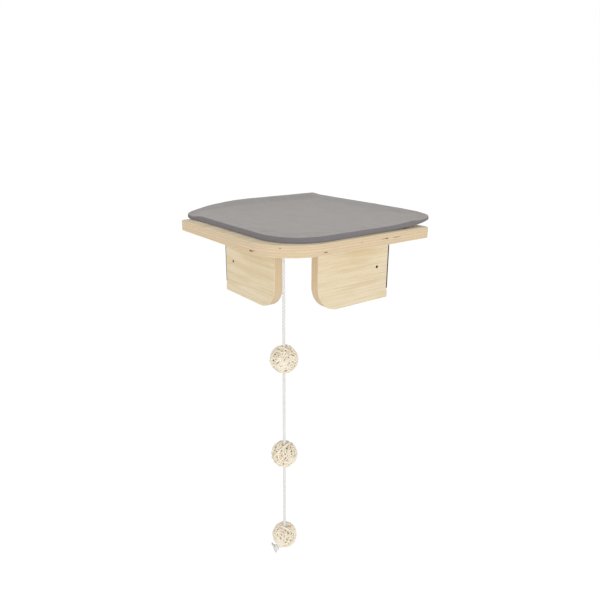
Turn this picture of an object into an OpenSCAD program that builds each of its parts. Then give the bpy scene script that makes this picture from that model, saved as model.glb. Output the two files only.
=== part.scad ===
// Wall-mounted corner platform with a padded mat and a string of three wound balls.
// Millimetres, +Z up. The origin is the corner where the two walls meet, at the height of the
// board's underside. The left wall is the plane x = 0 and the right wall is the plane y = 0.

/* [Board] */
// Length of the board along each wall
board_side = 300; // [240:5:420]
// Thickness of the plywood board
board_t = 18; // [12:1:25]
// Radius of the board's front corner
board_front_r = 80; // [30:1:140]
// Radius of the board's two side corners
board_tip_r = 6; // [3:1:25]
// Radius of the board's back corner
board_back_r = 4; // [2:1:12]
// Width of the eased edge around the board
board_ease = 1.5; // [0.5:0.1:3]

/* [Brackets] */
// Distance of each bracket's outer face from the free edge of the board beside it
bracket_inset = 86; // [40:1:110]
// Thickness of the plywood brackets
bracket_t = 18; // [12:1:25]
// How far each bracket reaches out from its wall
bracket_reach = 163; // [110:1:180]
// Height of each bracket
bracket_h = 124; // [90:1:180]
// Height of each bracket's foot, which bears on the wall below the wall plate
bracket_foot_h = 14; // [8:1:30]
// Radius of each bracket's lower front corner
bracket_front_r = 45; // [10:1:60]
// Radius of each bracket's other corners
bracket_corner_r = 2; // [1:0.5:5]
// Width of the eased edge around each bracket
bracket_ease = 1.2; // [0.5:0.1:3]

/* [Wall plates] */
// Thickness of the steel plate behind each bracket
plate_t = 3; // [2:0.5:4]
// Width of each wall plate
plate_w = 16; // [12:1:18]
// Space left above and below each wall plate
plate_end_gap = 1; // [0.5:0.5:3]
// Cut across each corner of a wall plate
plate_cut = 2.5; // [1:0.5:4]
// Distance of a wall plate's screw holes from its ends
plate_hole_end = 12; // [10:1:25]
// Diameter of the wall plate's screw holes
plate_hole_d = 4.5; // [3.5:0.1:5.5]
// Diameter of the countersink at the face of a wall plate
plate_sink_d = 8.6; // [7:0.1:10]

/* [Support rods] */
// Diameter of the steel rod that each bracket slides onto
rod_d = 8; // [6:0.5:10]
// How far each rod stands out of its wall plate
rod_l = 70; // [40:1:100]
// How far each rod lies below the middle of its bracket
rod_below_middle = 1; // [0:0.5:5]
// Chamfer at the free end of each rod
rod_chamfer = 1; // [0.5:0.1:2]
// Diameter of the spigot that is riveted into the wall plate
spigot_d = 6; // [4:0.5:7]
// Radial clearance between rod and bracket, and between spigot and plate
rod_gap = 0.05; // [0.02:0.01:0.1]
// Depth left free beyond the end of each rod
rod_end_gap = 2; // [1:0.5:5]

/* [Lock screws] */
// Distance of the lock screw's hole from the wall
lock_setback = 29; // [15:1:60]
// Diameter of the lock screw's hole
lock_hole_d = 5.6; // [4:0.1:6]
// Radial clearance around the lock screw
lock_gap = 0.05; // [0.02:0.01:0.1]
// Depth of the lock screw's outer end below the bracket's face
lock_sunk = 1.6; // [0.5:0.1:2]
// Depth of the flat that the lock screw bears on
lock_flat = 0.6; // [0.3:0.1:1]
// Width of the hexagon socket across its corners
lock_socket_d = 2.8; // [2:0.1:3.5]
// Depth of the hexagon socket
lock_socket_depth = 2; // [1:0.1:3]

/* [Board screws] */
// Distance of the first board screw of each bracket from the wall
screw_first = 45; // [25:1:60]
// Distance of the second board screw of each bracket from the wall
screw_second = 130; // [90:1:150]
// Diameter of the board screws
screw_d = 4; // [3:0.5:5]
// Length of the board screws
screw_l = 45; // [30:1:60]
// Length of a board screw's point
screw_point_l = 5; // [3:0.5:8]
// Diameter of a board screw's countersunk head
screw_head_d = 8; // [6:0.5:10]
// Depth of each screw head below the board's top
screw_sunk = 0.3; // [0.1:0.1:1]
// Radial clearance around the screws
screw_gap = 0.05; // [0.02:0.01:0.3]
// Width of the cross recess
recess_w = 1.1; // [0.8:0.1:1.6]
// Length of the cross recess
recess_l = 4.4; // [3:0.1:6]
// Depth of the cross recess
recess_depth = 1.6; // [1:0.1:2.5]

/* [Mat] */
// Thickness of the mat near its rim
mat_t = 8.5; // [5:0.5:20]
// How much the mat is thicker in the middle
mat_crown = 2; // [0:0.5:10]
// Distance of the mat from the board's left free edge
mat_left_inset = 22; // [5:1:30]
// Distance of the mat from the board's right free edge
mat_right_inset = 10.5; // [10:0.5:30]
// Distance of the mat from the walls
mat_wall_gap = 1; // [0.5:0.5:10]
// How far each side corner of the mat is drawn out beyond its free side
mat_flare = 10; // [0:0.5:10]
// Distance from the wall within which a side corner is drawn out
mat_flare_w = 28; // [15:1:60]
// Radius of the mat's front corner
mat_front_r = 70; // [40:1:140]
// Radius of the mat's side corners
mat_tip_r = 3; // [2:1:20]
// Radius of the mat's back corner
mat_back_r = 10; // [6:1:40]
// Height of the sharp upturn along the left wall
mat_curl = 9; // [0:1:25]
// Width of the sharp upturn along the walls
mat_curl_w = 20; // [15:1:60]
// Height of the gentle rise towards the left wall
mat_rise = 10; // [0:1:15]
// Distance over which the gentle rise fades
mat_rise_w = 90; // [30:5:130]
// How high the mat stands at the right wall, as a share of its height at the left wall
mat_right_share = 0.82; // [0.3:0.01:1.2]
// How high the sharp upturn still is at the left side corner, as a share of its height
mat_left_curl_share = 0.55; // [0:0.01:1]
// How high the gentle rise still is at the left side corner, as a share of its height
mat_left_rise_share = 0; // [0:0.01:1]
// How high both still are at the right side corner, as a share of their height
mat_right_corner_share = 0.88; // [0:0.01:1]
// Distance over which they get lower towards the side corners
mat_fade_w = 130; // [30:5:150]

/* [Hook and loop patches] */
// Diameter of each patch
patch_d = 24; // [15:1:40]
// Thickness of each patch
patch_t = 1; // [0.5:0.1:2]
// Distance of the middle of the four patches from each wall
patch_middle = 190; // [175:1:200]
// Distance of each patch from the middle of the four, both ways
patch_offset = 45; // [30:1:50]
// Clearance around the patches in the mat
patch_gap = 0.3; // [0.1:0.1:1]

/* [String] */
// Distance of the string from the board's left free edge
string_from_left_edge = 43; // [30:1:80]
// Distance of the string from the board's right free edge
string_from_right_edge = 50; // [30:1:80]
// Diameter of the cotton rope
rope_d = 5; // [3:0.5:8]
// Clearance between pieces of the string that turn against each other
string_gap = 0.3; // [0.2:0.05:0.6]
// Diameter of the hole through the board
string_hole_d = 7.6; // [6:0.1:12]
// Depth of the string's upper pivot above the board's underside
string_pivot_up = 1; // [0:0.1:4]
// Widening of the hole's mouth at the board's underside
mouth_flare = 1.1; // [0.5:0.1:3]
// Diameter of the counterbore for the anchor knot
anchor_bore_d = 14; // [10:0.5:20]
// Thickness of board left under the anchor knot
anchor_seat = 7.5; // [4:0.5:12]
// Diameter of one turn of rope in a knot
knot_turn_d = 4.8; // [3:0.1:8]
// Diameter of a knot along the middle of its turns
knot_pitch_d = 7.2; // [5:0.1:10]
// Distance between the two turns of a knot
knot_rise = 4; // [3:0.1:6]
// Length of rope left above the anchor knot
anchor_tail = 1.2; // [0.5:0.1:1.6]

/* [Balls] */
// Diameter of the upper ball
ball_upper_d = 45.5; // [35:0.5:60]
// Diameter of the middle ball
ball_middle_d = 44; // [35:0.5:60]
// Diameter of the lower ball
ball_lower_d = 42.5; // [35:0.5:60]
// Depth of the upper ball's centre below the board
ball_upper_drop = 167; // [120:1:250]
// Distance from the upper ball's centre to the middle ball's centre
ball_middle_drop = 169.5; // [100:0.5:250]
// Distance from the middle ball's centre to the lower ball's centre
ball_lower_drop = 161.5; // [100:0.5:250]
// Diameter of the strand that the balls are wound from
strand_d = 2.2; // [1.5:0.1:3]
// Radial distance from one layer of the winding to the next
layer_step = 3.1; // [2.9:0.05:4]
// Space between the innermost layer and the knot that the ball hangs on
knot_clear = 1.1; // [0.4:0.1:3]

/* [Tail] */
// Direction in which the rope's end turns away under the lower ball
tail_azimuth = 234; // [0:1:360]

/* [Hidden] */
$fn = 48;
tiny = 0.01;
// How far a hole's tool reaches past the face that it cuts
past = 1;
full_turn = 360;

ply = [0.87, 0.80, 0.66];
ply_light = [0.91, 0.85, 0.74];
black_steel = [0.12, 0.11, 0.11];
zinc = [0.75, 0.75, 0.77];
felt = [0.64, 0.62, 0.60];
hook_grey = [0.30, 0.29, 0.29];
cotton = [0.93, 0.92, 0.88];
cane = [0.91, 0.87, 0.77];

front_segments = 24;
corner_segments = 8;
mat_front_segments = 12;
mat_corner_segments = 7;
mat_wall_segments = 7;
mat_free_segments = 8;

bracket_outer_y = bracket_inset - board_side;
bracket_middle_y = bracket_outer_y + bracket_t / 2;
rod_z = -bracket_h / 2 - rod_below_middle;
rebate_h = bracket_h - bracket_foot_h;

rod_bore_d = rod_d + 2 * rod_gap;
rod_bore_l = rod_l + rod_end_gap;
spigot_hole_d = spigot_d + 2 * rod_gap;
lock_d = lock_hole_d - 2 * lock_gap;
lock_seat = (bracket_t - rod_d) / 2 + lock_flat;
lock_l = lock_seat - lock_sunk;
plate_l = rebate_h - 2 * plate_end_gap;
plate_middle_z = -rebate_h / 2;
plate_hole_pitch = plate_l - 2 * plate_hole_end;
plate_sink_h = (plate_sink_d - plate_hole_d) / 2;

screw_places = [screw_first, screw_second];
screw_hole_d = screw_d + 2 * screw_gap;
screw_head_h = (screw_head_d - screw_d) / 2;
screw_sink_d = screw_head_d + 2 * screw_sunk;
screw_sink_h = (screw_sink_d - screw_hole_d) / 2;
screw_pilot_l = screw_l + screw_sunk - board_t + screw_point_l / 4;

patch_hole_d = patch_d + 2 * patch_gap;
patch_pair_t = 2 * patch_t;

string_x = board_side - string_from_right_edge;
string_y = string_from_left_edge - board_side;
rope_r = rope_d / 2;
knot_h = knot_rise + knot_turn_d;
anchor_knot_z = anchor_seat + knot_h / 2;

strand_r = strand_d / 2;
winding_depth = strand_d + 2 * layer_step;
ball_upper_z = -ball_upper_drop;
ball_middle_z = ball_upper_z - ball_middle_drop;
ball_lower_z = ball_middle_z - ball_lower_drop;
ball_exit = 0.5;

rope_sides = 12;
rope_ring_step = 14;
rope_round_angles = [75, 50, 25];

// The winding has three layers, each a spiral from one pole to the next. The poles are given as
// [azimuth, elevation], chosen so that no strand comes near the rope.
winding_poles = [[77, 28], [350, -49], [280, 31], [9, -21]];
winding_layers = len(winding_poles) - 1;
winding_turns = 4.5;
winding_cap = 17;
rings_per_turn = 16;
crossover_angle = 110;
crossover_rings = 5;
strand_sides = 5;
gap_samples = 4;
gap_skip = 14;

// The rope's end beside the lower ball, as [distance out, height above the ball's centre].
tail_start = [[0, -10], [0, -19], [0.3, -22.5], [2.5, -25], [5.5, -25.5]];
end_knot_place = [13, -25.5];
tail_end = [[20, -25], [22, -22.5], [22.5, -19], [22, -15]];

// Small tools

function unit(v) = v / norm(v);

function smooth(t) = t * t * (3 - 2 * t);

// Arc of a corner with centre [x, y], from angle a to a + 90.
function corner(x, y, r, a, n) =
    [for (i = [0 : n]) [x + r * cos(a + 90 * i / n), y + r * sin(a + 90 * i / n)]];

// Outline of a square that lies in the corner of the walls, drawn in by e all round.
// far is its far side and gap its distance from the walls. It runs anticlockwise from
// the right side corner over the back, left and front corners.
function corner_outline(far, gap, right_r, back_r, left_r, front_r, e = 0, n = 8, front_n = 24) = concat(
    corner(far - right_r, -gap - right_r, right_r - e, 0, n),
    corner(gap + back_r, -gap - back_r, back_r - e, 90, n),
    corner(gap + left_r, left_r - far, left_r - e, 180, n),
    corner(far - front_r, front_r - far, front_r - e, 270, front_n)
);

// The pieces on the right wall mirror those on the left wall.
module mirrored() {
    mirror([1, 1, 0]) children();
}

module at_string(z) {
    translate([string_x, string_y, z]) children();
}

// A plate with its outline eased from outer to inner at both faces.
module eased_plate(outer, inner, t, ease) {
    n = len(outer);
    levels = [[inner, 0], [outer, ease], [outer, t - ease], [inner, t]];
    points = [for (level = levels, p = level[0]) [p[0], p[1], level[1]]];
    bottom = [[for (i = [0 : n - 1]) i]];
    top = [[for (i = [n - 1 : -1 : 0]) 3 * n + i]];
    sides = [for (k = [0 : 2], i = [0 : n - 1])
        [k * n + i, (k + 1) * n + i, (k + 1) * n + (i + 1) % n, k * n + (i + 1) % n]];
    polyhedron(points, concat(bottom, sides, top), convexity = 4);
}

// A tube through points, each ring standing across the path. refs are directions that no
// stretch of the path runs along, one for each point.
module tube(points, radii, refs, sides) {
    last = len(points) - 1;
    rings = [for (i = [0 : last])
        let(
            t = unit(points[min(i + 1, last)] - points[max(i - 1, 0)]),
            a = unit(cross(t, refs[i])),
            b = cross(a, t)
        )
        [for (k = [0 : sides - 1])
            points[i] + radii[i] * (cos(full_turn * k / sides) * a + sin(full_turn * k / sides) * b)]];
    vertices = [for (ring = rings, p = ring) p];
    walls = [for (i = [0 : last - 1], k = [0 : sides - 1])
        let(m = (k + 1) % sides, u = i * sides, v = u + sides)
        each [[u + k, u + m, v + m], [u + k, v + m, v + k]]];
    start = [for (k = [1 : sides - 2]) [0, k + 1, k]];
    end = [for (k = [1 : sides - 2]) [last * sides, last * sides + k, last * sides + k + 1]];
    polyhedron(vertices, concat(walls, start, end), convexity = 10);
}

// Platform

module board() {
    outer = corner_outline(board_side, 0, board_tip_r, board_back_r, board_tip_r, board_front_r,
        n = corner_segments, front_n = front_segments);
    inner = corner_outline(board_side, 0, board_tip_r, board_back_r, board_tip_r, board_front_r,
        board_ease, corner_segments, front_segments);
    color(ply) difference() {
        eased_plate(outer, inner, board_t, board_ease);
        board_screw_holes();
        mirrored() board_screw_holes();
        string_hole();
    }
}

module board_screw_holes() {
    for (x = screw_places)
        translate([x, bracket_middle_y, 0]) {
            translate([0, 0, -tiny]) cylinder(d = screw_hole_d, h = board_t);
            translate([0, 0, board_t - screw_sink_h])
                cylinder(d1 = screw_hole_d, d2 = screw_sink_d, h = screw_sink_h);
            translate([0, 0, board_t - tiny]) cylinder(d = screw_sink_d, h = past);
        }
}

module string_hole() {
    at_string(0) {
        translate([0, 0, -past]) cylinder(d = string_hole_d, h = board_t);
        translate([0, 0, -tiny])
            cylinder(d1 = string_hole_d + 2 * mouth_flare, d2 = string_hole_d, h = mouth_flare);
        translate([0, 0, anchor_seat]) cylinder(d = anchor_bore_d, h = board_t);
    }
}

// Outline of a bracket as [distance from the wall, height], drawn in by e all round. A rebate
// for the wall plate leaves only its foot at the wall.
function bracket_outline(e = 0) =
    let(
        r = bracket_corner_r,
        n = corner_segments
    )
    concat(
        corner(bracket_reach - r, -r, r - e, 0, n / 2),
        corner(plate_t + r, -r, r - e, 90, n / 2),
        [[plate_t + e, -rebate_h - e]],
        corner(r, -rebate_h - r, r - e, 90, n / 2),
        corner(r, r - bracket_h, r - e, 180, n / 2),
        corner(bracket_reach - bracket_front_r, bracket_front_r - bracket_h, bracket_front_r - e,
            270, 2 * n)
    );

// Bracket on the left wall, square to it.
module bracket() {
    difference() {
        translate([0, bracket_outer_y + bracket_t, 0])
            rotate([90, 0, 0])
            eased_plate(bracket_outline(), bracket_outline(bracket_ease), bracket_t, bracket_ease);
        translate([0, bracket_middle_y, rod_z])
            rotate([0, 90, 0]) cylinder(d = rod_bore_d, h = plate_t + rod_bore_l);
        translate([lock_setback, bracket_middle_y, rod_z])
            rotate([90, 0, 0]) cylinder(d = lock_hole_d, h = bracket_t);
        for (x = screw_places)
            translate([x, bracket_middle_y, -screw_pilot_l])
                cylinder(d = screw_hole_d, h = screw_pilot_l + past);
    }
}

module left_bracket() {
    color(ply) bracket();
}

module right_bracket() {
    color(ply_light) mirrored() bracket();
}

// A countersunk wood screw with a cross recess, its head at z = 0 and its point down.
module wood_screw() {
    difference() {
        union() {
            translate([0, 0, -screw_head_h])
                cylinder(d1 = screw_d, d2 = screw_head_d, h = screw_head_h);
            translate([0, 0, screw_point_l - screw_l])
                cylinder(d = screw_d, h = screw_l - screw_point_l - screw_head_h / 2);
            translate([0, 0, -screw_l])
                cylinder(d1 = screw_d / 5, d2 = screw_d, h = screw_point_l);
        }
        for (a = [0, 90])
            rotate([0, 0, a])
                translate([-recess_l / 2, -recess_w / 2, -recess_depth])
                cube([recess_l, recess_w, recess_depth + past]);
    }
}

module board_screws() {
    for (x = screw_places)
        translate([x, bracket_middle_y, board_t - screw_sunk]) wood_screw();
}

module left_board_screws() {
    color(zinc) board_screws();
}

module right_board_screws() {
    color(zinc) mirrored() board_screws();
}

// Steel plate on the left wall, in the bracket's rebate, with the rod's spigot hole between two
// countersunk screw holes.
module wall_plate() {
    w = plate_w / 2;
    l = plate_l / 2;
    c = plate_cut;
    outline = [[-l, c - w], [c - l, -w], [l - c, -w], [l, c - w],
        [l, w - c], [l - c, w], [c - l, w], [-l, w - c]];
    translate([0, bracket_middle_y, plate_middle_z])
        rotate([0, 90, 0])
        difference() {
            linear_extrude(plate_t) polygon(outline);
            translate([plate_middle_z - rod_z, 0, -past])
                cylinder(d = spigot_hole_d, h = plate_t + 2 * past);
            for (side = [-1, 1])
                translate([side * plate_hole_pitch / 2, 0, 0]) {
                    translate([0, 0, -past]) cylinder(d = plate_hole_d, h = plate_t + 2 * past);
                    translate([0, 0, plate_t - plate_sink_h])
                        cylinder(d1 = plate_hole_d, d2 = plate_sink_d, h = plate_sink_h);
                    translate([0, 0, plate_t - tiny]) cylinder(d = plate_sink_d, h = past);
                }
        }
}

module left_wall_plate() {
    color(black_steel) wall_plate();
}

module right_wall_plate() {
    color(black_steel) mirrored() wall_plate();
}

// Rod with its spigot in the wall plate and a flat where the lock screw bears.
module support_rod() {
    translate([0, bracket_middle_y, rod_z])
        rotate([0, 90, 0])
        difference() {
            union() {
                cylinder(d = spigot_d, h = plate_t + rod_chamfer);
                translate([0, 0, plate_t]) cylinder(d = rod_d, h = rod_l - rod_chamfer);
                translate([0, 0, plate_t + rod_l - rod_chamfer])
                    cylinder(d1 = rod_d, d2 = rod_d - 2 * rod_chamfer, h = rod_chamfer);
            }
            translate([-rod_d / 2, -rod_d / 2 - past, lock_setback - lock_hole_d / 2])
                cube([rod_d, lock_flat + past, lock_hole_d]);
        }
}

module left_support_rod() {
    color(zinc) support_rod();
}

module right_support_rod() {
    color(zinc) mirrored() support_rod();
}

// Headless screw in the bracket's side, its tip on the rod's flat.
module lock_screw() {
    translate([lock_setback, bracket_outer_y + lock_sunk, rod_z])
        rotate([-90, 0, 0])
        difference() {
            cylinder(d = lock_d, h = lock_l);
            translate([0, 0, -past])
                cylinder(d = lock_socket_d, h = lock_socket_depth + past, $fn = 6);
        }
}

module left_lock_screw() {
    color(black_steel) lock_screw();
}

module right_lock_screw() {
    color(black_steel) mirrored() lock_screw();
}

// Mat

module patches(z, d, h) {
    for (i = [-1, 1], j = [-1, 1])
        translate([patch_middle + i * patch_offset, j * patch_offset - patch_middle, z])
            cylinder(d = d, h = h);
}

module hook_patches() {
    color(hook_grey) patches(board_t, patch_d, patch_t);
}

module loop_patches() {
    color(felt) patches(board_t + patch_t, patch_d, patch_t);
}

// Points of the mat's side along a wall, from a to b without its ends.
function wall_side(a, b) =
    [for (i = [1 : mat_wall_segments - 1]) a + (b - a) * i / mat_wall_segments];

// Points of a free side of the mat, from side corner a to b without its ends, closer towards a.
function free_side(a, b) =
    [for (i = [1 : mat_free_segments - 1]) a + (b - a) * pow(i / mat_free_segments, 2)];

function backwards(points) = [for (i = [len(points) - 1 : -1 : 0]) points[i]];

// How far a free side is drawn out at distance d from its wall.
function drawn_out(d) = mat_flare * pow(max(0, 1 - d / mat_flare_w), 1.5);

function mat_outline() =
    let(
        x = board_side - mat_right_inset,
        y = board_side - mat_left_inset,
        gap = mat_wall_gap,
        n = mat_corner_segments,
        right = corner(x - mat_tip_r, -gap - mat_tip_r, mat_tip_r, 0, n),
        back = corner(gap + mat_back_r, -gap - mat_back_r, mat_back_r, 90, n),
        left = corner(gap + mat_tip_r, mat_tip_r - y, mat_tip_r, 180, n),
        front = corner(x - mat_front_r, mat_front_r - y, mat_front_r, 270, mat_front_segments),
        square = concat(
            right, wall_side(right[n], back[0]),
            back, wall_side(back[n], left[0]),
            left, free_side(left[n], front[0]),
            front, backwards(free_side(right[0], front[mat_front_segments]))
        )
    )
    [for (p = square) [
        p[0] + drawn_out(-p[1]) * pow(p[0] / x, 2),
        p[1] - drawn_out(p[0]) * pow(p[1] / y, 2)
    ]];

// Height of the mat at distance d from a wall and distance side from the side corner there.
function wall_rise(d, side, curl_share, rise_share) =
    let(near_corner = pow(max(0, 1 - side / mat_fade_w), 2))
    mat_curl * pow(max(0, 1 - d / mat_curl_w), 1.5) * (1 - (1 - curl_share) * near_corner)
    + mat_rise * pow(max(0, 1 - d / mat_rise_w), 2) * (1 - (1 - rise_share) * near_corner);

// Height of the mat's underside above the board. In the back corner the higher rise prevails.
function mat_lift(p) =
    let(
        left_tip = board_side - mat_left_inset + mat_flare,
        right_tip = board_side - mat_right_inset + mat_flare,
        left = wall_rise(p[0], left_tip + p[1], mat_left_curl_share, mat_left_rise_share),
        right = mat_right_share * wall_rise(
            -p[1], right_tip - p[0], mat_right_corner_share, mat_right_corner_share)
    )
    pow(pow(left, 4) + pow(right, 4), 1 / 4);

// Rings of the mat, as [share of the way out from the middle, share of the full thickness].
mat_rings = [[0.35, 1], [0.66, 1], [0.83, 1], [0.93, 0.97], [0.975, 0.8], [0.993, 0.45]];

module mat_pad() {
    outline = mat_outline();
    n = len(outline);
    middle = [board_side / 2, -board_side / 2];
    count = len(mat_rings);
    function mat_point(p, full, upper) =
        let(t = upper ? mat_t + mat_crown * (1 - pow(norm(p - middle) / middle[0], 2)) : 0)
        [p[0], p[1], board_t + mat_lift(p) + (1 - full) * mat_t / 2 + full * max(0, t)];
    function ring(r, upper) =
        [for (p = outline) mat_point(middle + (p - middle) * r[0], r[1], upper)];
    points = concat(
        [mat_point(middle, 1, true)],
        [for (r = mat_rings) each ring(r, true)],
        ring([1, 0], true),
        [for (i = [count - 1 : -1 : 0]) each ring(mat_rings[i], false)],
        [mat_point(middle, 1, false)]
    );
    last = len(points) - 1;
    loops = 2 * count + 1;
    start = [for (i = [0 : n - 1]) [0, 1 + (i + 1) % n, 1 + i]];
    bands = [for (k = [0 : loops - 2], i = [0 : n - 1])
        let(u = 1 + k * n, v = u + n, j = (i + 1) % n)
        each [[u + i, u + j, v + j], [u + i, v + j, v + i]]];
    end = [for (i = [0 : n - 1]) [last, last - n + i, last - n + (i + 1) % n]];
    polyhedron(points, concat(start, bands, end), convexity = 4);
}

module mat() {
    color(felt) difference() {
        mat_pad();
        patches(board_t - past, patch_hole_d, patch_pair_t + past);
    }
}

// String

// Two turns of rope drawn tight, with the middle at z = 0.
module knot_turns() {
    rotate_extrude()
        for (side = [-1, 1])
            translate([knot_pitch_d / 2, side * knot_rise / 2]) circle(d = knot_turn_d);
}

module anchor_knot() {
    color(cotton) at_string(0) {
        translate([0, 0, anchor_knot_z]) knot_turns();
        translate([0, 0, string_pivot_up + rope_r + string_gap])
            cylinder(d = rope_d, h = anchor_knot_z + knot_h / 2 + anchor_tail - string_pivot_up
                - rope_r - string_gap);
    }
}

// A knot that the rope runs through.
module threaded_knot(ball_z, ball_d) {
    at_string(ball_z + ball_d / 2 - winding_depth - knot_clear - knot_h / 2)
        difference() {
            knot_turns();
            translate([0, 0, -knot_h]) cylinder(d = rope_d, h = 2 * knot_h);
        }
}

module knot_upper() {
    color(cotton) threaded_knot(ball_upper_z, ball_upper_d);
}

module knot_middle() {
    color(cotton) threaded_knot(ball_middle_z, ball_middle_d);
}

module knot_lower() {
    color(cotton) threaded_knot(ball_lower_z, ball_lower_d);
}

// Height of the pivot under a ball, where the next stretch of rope starts.
function pivot_under(ball_z, ball_d) = ball_z - ball_d / 2 - ball_exit - string_gap - rope_r;

// Points of a straight stretch from height a down to height b, a few diameters apart.
function straight(a, b) =
    let(n = ceil((a - b) / rope_ring_step))
    [for (i = [0 : n]) [string_x, string_y, a + (b - a) * i / n]];

// A stretch of rope that starts with a rounded end about its pivot.
module rope(pivot_z, route) {
    crown = [for (a = rope_round_angles) [string_x, string_y, pivot_z + rope_r * sin(a)]];
    points = concat(crown, route);
    radii = concat([for (a = rope_round_angles) rope_r * cos(a)], [for (p = route) rope_r]);
    across = [-sin(tail_azimuth), cos(tail_azimuth), 0];
    tube(points, radii, [for (p = points) across], rope_sides);
}

module rope_upper() {
    color(cotton) rope(string_pivot_up,
        straight(string_pivot_up, ball_upper_z - ball_upper_d / 2 - ball_exit));
}

module rope_middle() {
    pivot = pivot_under(ball_upper_z, ball_upper_d);
    color(cotton) rope(pivot, straight(pivot, ball_middle_z - ball_middle_d / 2 - ball_exit));
}

function tail_point(p) =
    [string_x + p[0] * cos(tail_azimuth), string_y + p[0] * sin(tail_azimuth), ball_lower_z + p[1]];

module rope_lower() {
    pivot = pivot_under(ball_middle_z, ball_middle_d);
    knot_face = end_knot_place - [knot_h / 2, 0];
    bend = [for (p = concat(tail_start, [knot_face])) tail_point(p)];
    color(cotton) rope(pivot, concat(straight(pivot, ball_lower_z), bend));
}

// The knot at the rope's end and the short tail beyond it.
module end_knot() {
    across = [-sin(tail_azimuth), cos(tail_azimuth), 0];
    tail = [for (p = concat([end_knot_place], tail_end)) tail_point(p)];
    color(cotton) {
        translate(tail_point(end_knot_place))
            rotate([0, 90, tail_azimuth]) {
                knot_turns();
                translate([0, 0, -knot_h / 2]) cylinder(d = rope_d + 1, h = knot_h);
            }
        tube(tail, [for (p = tail) rope_r], [for (p = tail) across], rope_sides);
    }
}

// Wound balls

function direction(a) = [cos(a[1]) * cos(a[0]), cos(a[1]) * sin(a[0]), sin(a[1])];

poles = [for (a = winding_poles) direction(a)];

// Which way a layer turns about its own axis. Every other layer turns back.
function sense(layer) = layer % 2 == 0 ? 1 : -1;

// Point on the unit ball that lies at angle phase on a circle around pole p. The circles
// open out from p as s goes from 0 to 1, and close again around the next pole q.
function loop_point(p, q, s, phase) =
    let(
        k = pow(tan((winding_cap + (180 - 2 * winding_cap) * s) / 2), 2),
        m = k * q - p,
        n = unit(m),
        c = (k - 1) / norm(m),
        w = unit(cross(p, q))
    )
    c * n + sqrt(1 - c * c) * (cos(phase) * cross(w, n) + sin(phase) * w);

function layer_end(layer) = loop_point(poles[layer], poles[layer + 1], 1,
    layer_start(layer) + sense(layer) * full_turn * winding_turns);

// Phase at which a layer starts, so that the strand runs on from the layer before.
function layer_start(layer) = layer == 0 ? 0 :
    let(
        p = poles[layer],
        q = poles[layer + 1],
        e = outward(layer_end(layer - 1), p),
        ahead = cos(crossover_angle) * e + sense(layer - 1) * sin(crossover_angle) * cross(p, e),
        n = unit(pow(tan(winding_cap / 2), 2) * q - p),
        w = unit(cross(p, q))
    )
    atan2(ahead * w, ahead * cross(w, n));

// Direction from pole p towards point a, square to p.
function outward(a, p) = unit(a - (a * p) * p);

// A layer's points, each as [direction, depth in layers].
function layer_points(layer) =
    let(
        n = round(winding_turns * rings_per_turn),
        start = layer_start(layer)
    )
    [for (i = [0 : n]) [
        loop_point(poles[layer], poles[layer + 1], i / n,
            start + sense(layer) * full_turn * winding_turns * i / n),
        layer
    ]];

// The strand's way down from one layer to the next, round the pole that they share.
function crossover_points(layer) = layer == 0 ? [] :
    let(
        p = poles[layer],
        from = layer_end(layer - 1),
        to = loop_point(p, poles[layer + 1], 0, layer_start(layer)),
        e = outward(from, p),
        f = cross(p, e),
        turn = sense(layer - 1),
        round_by = (turn * atan2(to * f, to * e) + full_turn) % full_turn
    )
    [for (i = [1 : crossover_rings - 1])
        let(
            t = i / crossover_rings,
            a = turn * round_by * t,
            b = acos(from * p) + (acos(to * p) - acos(from * p)) * t
        )
        [cos(b) * p + sin(b) * (cos(a) * e + sin(a) * f), layer - 1 + smooth(t)]];

winding = [for (layer = [0 : winding_layers - 1])
    each concat(crossover_points(layer), layer_points(layer))];

// Least distance between stretches of a strand that don't follow each other, less its diameter.
function least_gap(points) =
    let(
        samples = [for (i = [0 : len(points) - 2], k = [0 : gap_samples - 1])
            points[i] + (points[i + 1] - points[i]) * k / gap_samples],
        last = len(samples) - 1
    )
    min([for (i = [0 : last - gap_skip]) min([for (j = [i + gap_skip : last])
        norm(samples[i] - samples[j])])]) - strand_d;

module wound_ball(name, z, d) {
    points = [for (w = winding) (d / 2 - strand_r - w[1] * layer_step) * w[0]];
    rope_gap = min([for (p = points) norm([p[0], p[1]])]) - strand_r - rope_r;
    echo(str(name, ": least gap of the strand to itself ", least_gap(points),
        " mm, least gap to the rope ", rope_gap, " mm"));
    color(cane) at_string(z)
        tube(points, [for (p = points) strand_r], points, strand_sides);
}

module ball_upper() {
    wound_ball("ball_upper", ball_upper_z, ball_upper_d);
}

module ball_middle() {
    wound_ball("ball_middle", ball_middle_z, ball_middle_d);
}

module ball_lower() {
    wound_ball("ball_lower", ball_lower_z, ball_lower_d);
}

board();
left_bracket();
right_bracket();
left_board_screws();
right_board_screws();
left_wall_plate();
right_wall_plate();
left_support_rod();
right_support_rod();
left_lock_screw();
right_lock_screw();
hook_patches();
mat();
loop_patches();
anchor_knot();
rope_upper();
knot_upper();
ball_upper();
rope_middle();
knot_middle();
ball_middle();
rope_lower();
knot_lower();
end_knot();
ball_lower();
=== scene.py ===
"""Corner wall platform with a padded mat and a string of three wound cane balls.

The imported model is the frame. This script adds what it shows: plywood with plies and rounded
edges, a sewn fleece mat, twisted cotton cord with its knots, and the wound balls.
Sizes are in metres, in the model's own frame.
"""

import math

import bmesh
import bpy
import numpy as np
from bpy.props import FloatProperty, FloatVectorProperty, IntProperty, PointerProperty
from mathutils import Matrix, Vector, noise
from mathutils.bvhtree import BVHTree


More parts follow.
